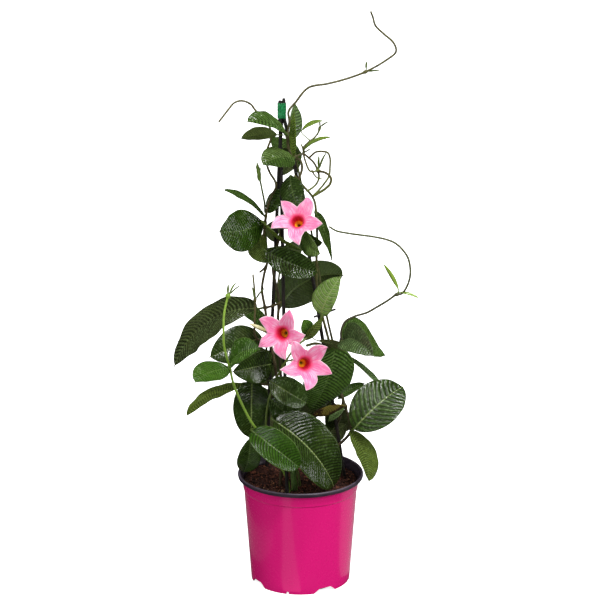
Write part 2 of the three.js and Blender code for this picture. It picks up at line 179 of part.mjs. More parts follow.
// ---------------------------------------------------------------- solids
const V = (a) => new THREE.Vector3(a[0], a[1], a[2]);
const RAD = Math.PI / 180;

// A closed geometry as a solid.
function solid(geometry) {
  let g = geometry.index ? geometry.toNonIndexed() : geometry.clone();
  for (const name of Object.keys(g.attributes)) if (name !== "position") g.deleteAttribute(name);
  g = mergeVertices(g, 1e-4);
  return new wasm.Manifold(
    new wasm.Mesh({ numProp: 3, vertProperties: new Float32Array(g.attributes.position.array), triVerts: new Uint32Array(g.index.array) }),
  );
}

// A solid back as a geometry.
function surface(s) {
  const m = s.getMesh();
  const v = new Float32Array(m.numVert * 3);
  for (let i = 0; i < m.numVert; i++) v.set(m.vertProperties.subarray(i * m.numProp, i * m.numProp + 3), i * 3);
  const g = new THREE.BufferGeometry();
  g.setAttribute("position", new THREE.BufferAttribute(v, 3));
  g.setIndex(new THREE.BufferAttribute(new Uint32Array(m.triVerts), 1));
  g.computeVertexNormals();
  return g;
}

const join = (list) => list.reduce((a, b) => a.add(b));

// Cuts leave a few vertices a hair apart: they are welded where that keeps the body closed.
function tidy(s) {
  for (const weld of [0.03, 0.02, 0.01, 0.004, 0.001]) {
    const g = mergeVertices(surface(s).deleteAttribute("normal").toNonIndexed(), weld);
    const kept = [];
    const i = g.index.array;
    for (let k = 0; k < i.length; k += 3) if (i[k] !== i[k + 1] && i[k + 1] !== i[k + 2] && i[k] !== i[k + 2]) kept.push(i[k], i[k + 1], i[k + 2]);
    const edges = new Set();
    for (let k = 0; k < kept.length; k++) edges.add(kept[k] * 1e6 + kept[k % 3 === 2 ? k - 2 : k + 1]);
    if (edges.size !== kept.length) continue; // two sheets share an edge
    try {
      const made = new wasm.Manifold(
        new wasm.Mesh({ numProp: 3, vertProperties: new Float32Array(g.attributes.position.array), triVerts: new Uint32Array(kept) }),
      );
      if (made.decompose().length === 1 && Math.abs(made.volume() - s.volume()) < 0.002 * s.volume() + 0.5) return made;
    } catch {
      // not closed at this weld: a finer one is tried
    }
  }
  return s;
}

// The largest body of a solid, so that a trimmed sliver falls away.
function largest(s) {
  const bodies = s.decompose();
  if (bodies.length < 2) return s;
  return bodies.reduce((a, b) => (b.volume() > a.volume() ? b : a));
}

// Rings of points lofted into one closed body. flip says for each side of the ring which diagonal its quads take,
// so that both faces of a thin blade are split alike.
function loft(rings, flip) {
  const n = rings[0].length;
  const position = [];
  const index = [];
  for (const ring of rings) for (const p of ring) position.push(p.x, p.y, p.z);
  for (let i = 0; i + 1 < rings.length; i++)
    for (let k = 0; k < n; k++) {
      const a = i * n + k, b = i * n + ((k + 1) % n), c = a + n, d = b + n;
      if (flip && flip[k]) index.push(a, b, c, b, d, c);
      else index.push(a, b, d, a, d, c);
    }
  const last = (rings.length - 1) * n;
  for (let k = 1; k + 1 < n; k++) {
    index.push(0, k + 1, k);
    index.push(last, last + k, last + k + 1);
  }
  const g = new THREE.BufferGeometry();
  g.setAttribute("position", new THREE.Float32BufferAttribute(position, 3));
  g.setIndex(index);
  return g;
}

// A straight-sided rod through a few points, with one section at each.
function rod(points, r, sides = 8, grow = 0) {
  const p = points.map(V);
  const dirs = p.slice(1).map((q, i) => q.clone().sub(p[i]).normalize());
  const t = p.map((_, i) => (dirs[i - 1] ?? dirs[i]).clone().add(dirs[i] ?? dirs[i - 1]).normalize());
  let n = new THREE.Vector3(0, 1, 0).cross(t[0]).normalize();
  const rings = p.map((q, i) => {
    if (i) n = n.clone().applyQuaternion(new THREE.Quaternion().setFromUnitVectors(t[i - 1], t[i]));
    const b = t[i].clone().cross(n);
    const c = q.clone().addScaledVector(t[i], (i === 0 ? -grow : 0) + (i === p.length - 1 ? grow : 0));
    return Array.from({ length: sides }, (_, k) => {
      const a = (2 * Math.PI * k) / sides;
      return c.clone().addScaledVector(n, (r + grow) * Math.cos(a)).addScaledVector(b, (r + grow) * Math.sin(a));
    });
  });
  return solid(loft(rings));
}

// A round tapering tube along a smooth curve: an extrusion along the curve whose sections are then scaled.
function tube(points, r0, r1, spacing = 8, sides = 5, grow = 0, longer = 0) {
  const p = points.map(V);
  if (longer) {
    p[0] = p[0].clone().addScaledVector(p[0].clone().sub(p[1]).normalize(), longer);
    const e = p.length - 1;
    p[e] = p[e].clone().addScaledVector(p[e].clone().sub(p[e - 1]).normalize(), longer);
  }
  const path = new THREE.CatmullRomCurve3(p, false, "centripetal");
  const steps = Math.max(2, Math.round(path.getLength() / spacing));
  const section = new THREE.Shape(
    Array.from({ length: sides }, (_, i) => new THREE.Vector2(Math.cos((2 * Math.PI * i) / sides), Math.sin((2 * Math.PI * i) / sides)).multiplyScalar(r0)),
  );
  const g = new THREE.ExtrudeGeometry(section, { steps, extrudePath: path, bevelEnabled: false });
  const centres = path.getSpacedPoints(steps);
  const along = centres.map((_, i) => path.getTangentAt(i / steps));
  const at = g.attributes.position;
  const q = new THREE.Vector3();
  for (let i = 0; i < at.count; i++) {
    q.fromBufferAttribute(at, i);
    let best = 0, least = Infinity;
    for (let s = 0; s <= steps; s++) {
      const d = q.clone().sub(centres[s]);
      const miss = Math.abs(d.dot(along[s])) + Math.abs(d.length() - r0);
      if (miss < least) { least = miss; best = s; }
    }
    const r = r0 + ((r1 - r0) * best) / steps + grow;
    q.sub(centres[best]).multiplyScalar(r / r0).add(centres[best]);
    at.setXYZ(i, q.x, q.y, q.z);
  }
  return solid(g);
}

// ---------------------------------------------------------------- leaves
function leafFrame(th, ph, ro) {
  const t = new THREE.Vector3(Math.cos(ph) * Math.cos(th), Math.cos(ph) * Math.sin(th), Math.sin(ph));
  const n = new THREE.Vector3(-Math.sin(ph) * Math.cos(th), -Math.sin(ph) * Math.sin(th), Math.cos(ph)).applyAxisAngle(t, ro);
  return { t, n, s: t.clone().cross(n) };
}

// The midrib bends down, sweeps sideways and twists at an even rate.
function midrib(l, steps = 20) {
  let { t, n, s } = leafFrame(l.th * RAD, l.ph * RAD, l.ro * RAD);
  const p = l.base.clone();
  const out = [{ p: p.clone(), t, n, s }];
  for (let i = 0; i < steps; i++) {
    const be = (-l.be * RAD) / steps, sw = (l.sw * RAD) / steps, tw = (l.tw * RAD) / steps;
    t = t.clone().applyAxisAngle(s, be);
    n = n.clone().applyAxisAngle(s, be);
    t = t.clone().applyAxisAngle(n, sw);
    s = s.clone().applyAxisAngle(n, sw);
    s = s.clone().applyAxisAngle(t, tw);
    n = n.clone().applyAxisAngle(t, tw);
    p.addScaledVector(t, l.length / steps);
    out.push({ p: p.clone(), t, n, s });
  }
  return out;
}

// Half width as a share of the widest place: round at the base, drawn out to a point.
function outline(u, a) {
  const x = Math.min(u / 0.94, 1);
  const p = Math.pow(Math.max(Math.sin(Math.PI * Math.pow(x, a)), 0), 0.72);
  return u > 0.5 ? Math.max(p, 0.035 * Math.min(Math.max((1 - u) / 0.05, 0), 1)) : p;
}

function leaf(row, { grow = 0, fused = false } = {}) {
  const [x, y, z, th, ph, ro, length, width, be, fo, sw, tw, a, cup, ax, ay, az, rs] = row;
  const l = { base: V([x, y, z]), th, ph, ro, length, be, sw, tw };
  const ribs = midrib(l);
  const first = ribs[0];
  const small = length < 45;
  const rp = (small ? 0.7 : PETIOLE_RADIUS) + grow;
  const half = (small ? 0.4 : LEAF_HALF) + grow;
  const rings = [];
  // the petiole, from the stem's side to the base of the blade
  const foot = V([ax, ay, az]);
  const way = first.p.clone().sub(foot);
  const far = way.length();
  if (far > rs + 3 || (fused && far > 0.8)) {
    const dir = way.clone().normalize();
    const p0 = foot.clone().addScaledVector(dir, fused ? 0 : rs + GAP - grow);
    const reach = (far - (fused ? 0 : rs)) * 0.35;
    const curve = new THREE.CubicBezierCurve3(
      p0, p0.clone().addScaledVector(dir, reach), first.p.clone().addScaledVector(first.t, -reach), first.p.clone(),
    );
    const count = far > 14 ? 4 : far > 7 ? 3 : 2;
    const marks = [];
    for (let i = 0; i < count; i++) marks.push({ p: curve.getPoint(i / count), t: curve.getTangent(i / count) });
    let { t, n } = first;
    for (let i = count - 1; i >= 0; i--) {
      const turn = new THREE.Quaternion().setFromUnitVectors(t, marks[i].t);
      n = n.clone().applyQuaternion(turn);
      t = marks[i].t;
      const s = t.clone().cross(n);
      rings.unshift(ring(marks[i].p, s, n, rp, rp, 0, 0));
    }
  }
  // the blade
  const at = length < 30 ? [0, 0.2, 0.6, 0.92, 1] : small ? [0, 0.1, 0.33, 0.65, 0.92, 1] : [0, 0.07, 0.22, 0.42, 0.62, 0.8, 0.94, 1];
  for (const u of at) {
    const k = Math.min(u * (ribs.length - 1), ribs.length - 1 - 1e-6);
    const i = Math.floor(k), f = k - i;
    const p = ribs[i].p.clone().lerp(ribs[i + 1].p, f);
    const s = ribs[i].s.clone().lerp(ribs[i + 1].s, f).normalize();
    const n = ribs[i].n.clone().lerp(ribs[i + 1].n, f).normalize();
    if (u === 1 && grow) p.addScaledVector(ribs[i].t, grow);
    const w = (width / 2) * outline(u, a);
    const edge = Math.max(w * Math.cos(fo * RAD) + grow, u < 0.3 ? rp : 0.25 + grow);
    rings.push(ring(p, s, n, edge, u < 0.03 ? rp : Math.max(half * (1 - 0.5 * u), 0.25 + grow), w * Math.sin(fo * RAD), cup * w));
  }
  return solid(loft(rings, [false, true, false, true]));
}

// One section of a leaf: right edge, upper face, left edge, lower face. n points out of the upper face.
function ring(p, s, n, w, h, lift, sag) {
  const up = lift - sag;
  return [
    p.clone().addScaledVector(s, w).addScaledVector(n, up),
    p.clone().addScaledVector(n, h),
    p.clone().addScaledVector(s, -w).addScaledVector(n, up),
    p.clone().addScaledVector(n, -h),
  ].reverse();
}

// ---------------------------------------------------------------- flowers
function petalRadius(deg) {
  const turn = (((deg + 36) % 72) + 72) % 72 - 36;
  for (let i = 0; i < PETAL.length; i++) {
    const [a0, r0] = PETAL[i];
    const [a1, r1] = PETAL[i + 1] ?? [36, 0.452];
    if (turn <= a1) return r0 + ((r1 - r0) * (turn - a0)) / (a1 - a0);
  }
  return 0.452;
}

// A trumpet: a slender tube that widens to a throat and opens in five petals, all one thin body.
function corolla([x, y, z, az, el, ro, R, cupDepth, lift], grow = 0) {
  const centre = V([x, y, z]);
  const n = new THREE.Vector3(Math.sin(az * RAD) * Math.cos(el * RAD), -Math.cos(az * RAD) * Math.cos(el * RAD), Math.sin(el * RAD));
  const s = new THREE.Vector3(0, 0, 1).cross(n).normalize();
  const u = n.clone().cross(s);
  const marks = [];
  for (let k = 0; k < 5; k++) for (const [a] of PETAL) marks.push(k * 72 + a);
  const round = (r, d) => marks.map((a) => point(r, d, a));
  function point(r, d, a) {
    const t = (ro + a) * RAD;
    const p = centre.clone().addScaledVector(s, r * Math.cos(t)).addScaledVector(u, r * Math.sin(t)).addScaledVector(n, d);
    if (d < -14) p.z += lift * ((-14 - d) / 34) ** 2; // the tube bows upwards
    return p;
  }
  const T = PETAL_THICKNESS;
  // share: how far out towards the petal's edge; back: behind the front face
  const limb = (share, back) => marks.map((a) => {
    const edge = petalRadius(a) * R;
    const r = 6.8 + (edge - 6.8) * share + (share === 1 ? grow : 0);
    const d = cupDepth * Math.pow(Math.min((r - 6.8) / (R - 6.8), 1), 0.8);
    return point(r, d - back, a);
  });
  const rings = [
    round(1.6 + grow, -48 - grow), round(1.9 + grow, -38), round(2.7 + grow, -26), round(4.6 + grow, -14), round(6.6 + grow, -5),
    limb(0.5, T + grow), limb(1, T * 0.8 + grow), limb(1, -grow), limb(0.5, -grow),
    round(6.2 - grow, -1.5 + grow), round(3.4 - grow, -14 + grow), round(1.0, -24 + grow),
  ];
  return solid(loft(rings));
}

// A flower stalk: a thin stem from the vine, a little wider under the flower, and a cup of short sepals at its top.
function stalk(points, r, flower, grow = 0) {
  const made = [tube(points, r, r, 5, 6, grow, grow)];
  return join(made);
}

// ---------------------------------------------------------------- pieces
const stemSolid = {};
const keepOut = []; // grown copies of what is already placed: later pieces are trimmed clear of them
function place(s, name) { keepOut.push({ name, s, box: s.boundingBox() }); }
const meets = (a, b) => [0, 1, 2].every((i) => a.min[i] <= b.max[i] && b.min[i] <= a.max[i]);
function clear(s, except = []) {
  let box = s.boundingBox();
  for (const k of keepOut)
    if (!except.includes(k.name) && meets(box, k.box) && s.intersect(k.s).volume() > 1e-6) s = s.subtract(k.s);
  return largest(s);
}

const MATERIAL = {
  pot: new THREE.MeshStandardMaterial({ color: 0xc8186a, roughness: 0.3, metalness: 0 }),
  soil: new THREE.MeshStandardMaterial({ color: 0x2a1a12, roughness: 0.95, metalness: 0 }),
  cane: new THREE.MeshStandardMaterial({ color: 0x171614, roughness: 0.6, metalness: 0 }),
  tie: new THREE.MeshStandardMaterial({ color: 0x14894f, roughness: 0.35, metalness: 0 }),
  stem: new THREE.MeshStandardMaterial({ color: 0x4a4a26, roughness: 0.7, metalness: 0 }),
  shoot: new THREE.MeshStandardMaterial({ color: 0x6f9a35, roughness: 0.5, metalness: 0 }),
  leaf: new THREE.MeshStandardMaterial({ color: 0x1f4a1c, roughness: 0.35, metalness: 0 }),
  dry: new THREE.MeshStandardMaterial({ color: 0x8a6a2c, roughness: 0.8, metalness: 0 }),
  petal: new THREE.MeshStandardMaterial({ color: 0xf48fb8, roughness: 0.5, metalness: 0 }),
};

const plant = new THREE.Group();
const groups = Object.fromEntries(["container", "trellis", "vines", "foliage", "flowers"].map((n) => {
  const g = new THREE.Group();
  g.name = n + "_group";
  plant.add(g);
  return [n, g];
}));

// Adds a named mesh. Its own origin is at its anchor, the point where it joins what carries it.
function add(group, name, s, material, anchor = [0, 0, 0]) {
  const g = surface(tidy(s));
  g.translate(-anchor[0], -anchor[1], -anchor[2]);
  const mesh = new THREE.Mesh(g, material.clone());
  mesh.name = name;
  mesh.position.set(...anchor);
  groups[group].add(mesh);
  return mesh;
}

// pot: a lathed wall with a rolled lip, a stepped band, a foot ring and drain cut-outs
const bodyRadius = (z) => BASE_RADIUS + ((BODY_TOP_RADIUS - BAND_STEP - BASE_RADIUS) * z) / (POT_HEIGHT - RIM_HEIGHT);
const stepZ = POT_HEIGHT - RIM_HEIGHT - BAND_HEIGHT;
const lipZ = POT_HEIGHT - RIM_HEIGHT;
const lathe = (profile, segments = SEGMENTS) => new THREE.LatheGeometry(profile.map(([r, z]) => new THREE.Vector2(r, z)), segments).rotateX(Math.PI / 2);
const channel = [[0, 0], [DISC_RADIUS, 0], [DISC_RADIUS + 1.6, FOOT_HEIGHT], [BASE_RADIUS - WALL - 0.6, FOOT_HEIGHT], [BASE_RADIUS - WALL, 0]];
const floorTop = [[BASE_RADIUS - WALL - 0.4, FOOT_HEIGHT + WALL], [DISC_RADIUS + 0.4, FOOT_HEIGHT + WALL], [DISC_RADIUS - 1.2, WALL], [0, WALL]];
let pot = solid(lathe([
  ...channel,
  [BASE_RADIUS, 0], [bodyRadius(stepZ - 1), stepZ - 1], [bodyRadius(stepZ) + BAND_STEP, stepZ],
  [BODY_TOP_RADIUS, lipZ], [RIM_RADIUS, lipZ], [RIM_RADIUS, POT_HEIGHT - 1], [RIM_RADIUS - 1.2, POT_HEIGHT],
  [RIM_RADIUS - 3.2, POT_HEIGHT - 1], [BODY_TOP_RADIUS - WALL, lipZ - 2.5], [bodyRadius(stepZ) + BAND_STEP - WALL, stepZ - 1],
  [bodyRadius(stepZ - 3) - WALL, stepZ - 3], ...floorTop,
]));
const notch = (deg, { width, height }) => {
  const box = new THREE.BoxGeometry(width, 14, height + 2);
  box.translate(0, -DISC_RADIUS - 2 - 7, height / 2 - 1);
  box.rotateZ(deg * RAD);
  return solid(box);
};
for (const a of NOTCH_ANGLES) pot = pot.subtract(notch(a, NOTCH_BIG)).subtract(notch(a + 45, NOTCH_SMALL));
add("container", "pot", pot, MATERIAL.pot);

// soil: fills the pot up to just under the lip
const rIn = (z) => (z > stepZ - 1 ? bodyRadius(stepZ) + BAND_STEP - WALL + ((BODY_TOP_RADIUS - bodyRadius(stepZ) - BAND_STEP) * (z - stepZ + 1)) / (lipZ - 2.5 - stepZ + 1) : 0);
const soilEdge = SOIL_TOP - SOIL_DOME;
let soil = solid(lathe([
  [0, WALL + GAP], [DISC_RADIUS - 1.5, WALL + GAP], [DISC_RADIUS + 0.1, FOOT_HEIGHT + WALL + GAP], [BASE_RADIUS - WALL - 0.9, FOOT_HEIGHT + WALL + GAP],
  [bodyRadius(stepZ - 3) - WALL - GAP - 0.1, stepZ - 3.2], [bodyRadius(stepZ) + BAND_STEP - WALL - GAP - 0.1, stepZ - 0.6],
  [rIn(soilEdge) - GAP - 0.1, soilEdge], [45, SOIL_TOP - SOIL_DOME * 0.4], [0, SOIL_TOP],
]));

// canes and their tie
const caneSolids = [];
const caneFat = [];
for (const [name, points] of Object.entries(CANES)) {
  const s = rod(points, CANE_RADIUS);
  caneSolids.push(s);
  const fat = rod(points, CANE_RADIUS, 8, GAP);
  caneFat.push(fat);
  soil = soil.subtract(fat);
  add("trellis", name, s, MATERIAL.cane);
  place(fat, name);
}
// the tie is a thin sleeve that follows the three canes round
const BUNDLE = [[-23.76, -1.3], [-19.24, -1.3], [-21.5, 2.61]]; // centres of the canes inside the tie, counter-clockwise
function sleeveOutline(r, Kind) {
  const made = new Kind();
  BUNDLE.forEach(([x, y], i) => {
    const [px, py] = BUNDLE[(i + 2) % 3];
    const [nx, ny] = BUNDLE[(i + 1) % 3];
    made.absarc(x, y, r, Math.atan2(y - py, x - px) - Math.PI / 2, Math.atan2(ny - y, nx - x) - Math.PI / 2, false);
  });
  return made;
}
function sleeve(outer, inner, grow = 0) {
  const outline = sleeveOutline(outer, THREE.Shape);
  if (inner) outline.holes.push(sleeveOutline(inner, THREE.Path));
  const g = new THREE.ExtrudeGeometry(outline, { depth: TIE.high - TIE.low + 2 * grow, bevelEnabled: false, curveSegments: 3 });
  return solid(g.translate(0, 0, TIE.low - grow));
}
add("trellis", "cane_tie", sleeve(CANE_RADIUS + GAP + TIE.wall, CANE_RADIUS + GAP), MATERIAL.tie);
place(sleeve(CANE_RADIUS + 2 * GAP + TIE.wall, 0, GAP), "cane_tie");
const peg = clear(tube(PEG, 1.3, 1.2, 14, 6), []);
add("trellis", "cane_peg", peg, MATERIAL.cane);
place(tube(PEG, 1.3, 1.2, 14, 6, GAP, GAP), "cane_peg");

// stems with the small leaves that are joined to them
const BUDS = [{on: "bud_stalk", a: [-46.7, -20.0, 499.7], b: [-50.3, -22.0, 523.5], r: 2.3}];
for (const [name, { parts, young, colour, from }] of Object.entries(STEMS.nodes)) {
  const made = [], fat = [];
  for (const k of parts) {
    const { p, r, d } = STEMS.paths[k];
    const sides = r[0] < 1 && d < 6 ? 4 : 5;
    made.push(tube(p, r[0], r[1], d, sides));
    fat.push(tube(p, r[0], r[1], d, sides, GAP, GAP));
  }
  for (const k of young) {
    made.push(leaf(YOUNG[k], { fused: true }));
    fat.push(leaf(YOUNG[k], { fused: true, grow: GAP }));
  }
  for (const b of BUDS.filter((b) => b.on === name)) {
    for (const [list, grow] of [[made, 0], [fat, GAP]]) {
      const a = V(b.a), e = V(b.b), len = a.distanceTo(e) + 2 * grow;
      const shape = [[0, 0], [b.r * 0.75 + grow, len * 0.18], [b.r + grow, len * 0.4], [b.r * 0.75 + grow, len * 0.7], [b.r * 0.3 + grow, len * 0.93], [0, len]];
      const g = new THREE.LatheGeometry(shape.map(([r, h]) => new THREE.Vector2(r, h - grow)), 8);
      g.applyQuaternion(new THREE.Quaternion().setFromUnitVectors(new THREE.Vector3(0, 1, 0), e.clone().sub(a).normalize()));
      g.translate(a.x, a.y, a.z);
      list.push(solid(g));
    }
  }
  const s = clear(join(made));
  stemSolid[name] = s;
  for (const k of fat) place(k, name);
  if (from) soil = soil.subtract(join(fat));
  add("vines", name, s, MATERIAL[colour], STEMS.paths[parts[0]].p[0]);
}
add("container", "soil", largest(soil), MATERIAL.soil);

// flowers and their stalks
for (const [name, row] of Object.entries(FLOWERS)) {
  const s = clear(corolla(row));
  add("flowers", name, s, MATERIAL.petal, row.slice(0, 3));
  place(corolla(row, GAP), name);
}
for (const [name, { points, r, sepal, bud }] of Object.entries(PEDICELS)) {
  const build = (grow) => {
    const made = [tube(points, r, r, 7, 5, grow, 0)];
    const e = V(points.at(-1)), d = e.clone().sub(V(points.at(-2))).normalize();
    const cup = new THREE.CylinderGeometry(sepal + grow, r + grow, 5, 8).translate(0, -2.5, 0);
    cup.applyQuaternion(new THREE.Quaternion().setFromUnitVectors(new THREE.Vector3(0, 1, 0), d)).translate(e.x, e.y, e.z);
    made.push(solid(cup));
    if (bud) {
      made.push(tube(bud.stem, 0.9, 0.9, 6, 6, grow, 0));
      made.push(tube(bud.tip, 1.9, 0.6, 5, 8, grow, 0));
    }
    return join(made);
  };
  add("flowers", name, clear(build(0)), MATERIAL.shoot, points[0]);
  place(build(GAP), name);
}

// leaves, from the front of the plant to its back
for (const [name, rows, colour] of LEAVES) {
  let s = join(rows.map((row) => leaf(row, { fused: false })));
  s = clear(s);
  add("foliage", name, s, MATERIAL[colour], rows[0].slice(14, 17));
  place(join(rows.map((row) => leaf(row, { grow: GAP }))), name);
}

export default plant;
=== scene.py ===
# A climbing mandevilla in a magenta nursery pot, on a pale studio floor.
# Shapes are worked out in millimetres and handed to Blender in metres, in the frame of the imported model.
import math

import bmesh
import bpy
import numpy as np
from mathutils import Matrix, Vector


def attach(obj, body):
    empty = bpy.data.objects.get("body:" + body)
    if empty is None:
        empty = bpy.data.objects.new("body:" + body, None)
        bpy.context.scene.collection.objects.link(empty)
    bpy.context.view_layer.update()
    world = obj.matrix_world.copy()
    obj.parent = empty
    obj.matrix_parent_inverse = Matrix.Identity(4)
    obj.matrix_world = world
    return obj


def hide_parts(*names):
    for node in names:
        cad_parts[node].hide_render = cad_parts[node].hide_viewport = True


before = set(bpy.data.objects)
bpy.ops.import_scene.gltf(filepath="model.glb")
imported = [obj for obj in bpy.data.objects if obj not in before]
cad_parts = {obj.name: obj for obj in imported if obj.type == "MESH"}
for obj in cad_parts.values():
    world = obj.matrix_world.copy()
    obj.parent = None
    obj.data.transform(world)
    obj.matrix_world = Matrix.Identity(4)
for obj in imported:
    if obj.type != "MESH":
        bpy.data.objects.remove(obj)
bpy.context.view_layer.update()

MM = 0.001
RAD = math.pi / 180

# ---------------------------------------------------------------- sizes shared with the CAD model, millimetres
POT_HEIGHT = 134.4
RIM_RADIUS = 75.0
RIM_HEIGHT = 5.0
BAND_HEIGHT = 13.8
BAND_STEP = 0.9
BODY_TOP_RADIUS = 69.5
BASE_RADIUS = 59.0
WALL = 1.4
FOOT_HEIGHT = 4.0
DISC_RADIUS = 48.0
NOTCH_ANGLES = [-60, 30, 120, 210]
SOIL_TOP = 127.0
SOIL_DOME = 2.0
CANE_RADIUS = 2.1
TIE_LOW, TIE_HIGH = 569.6, 587.8

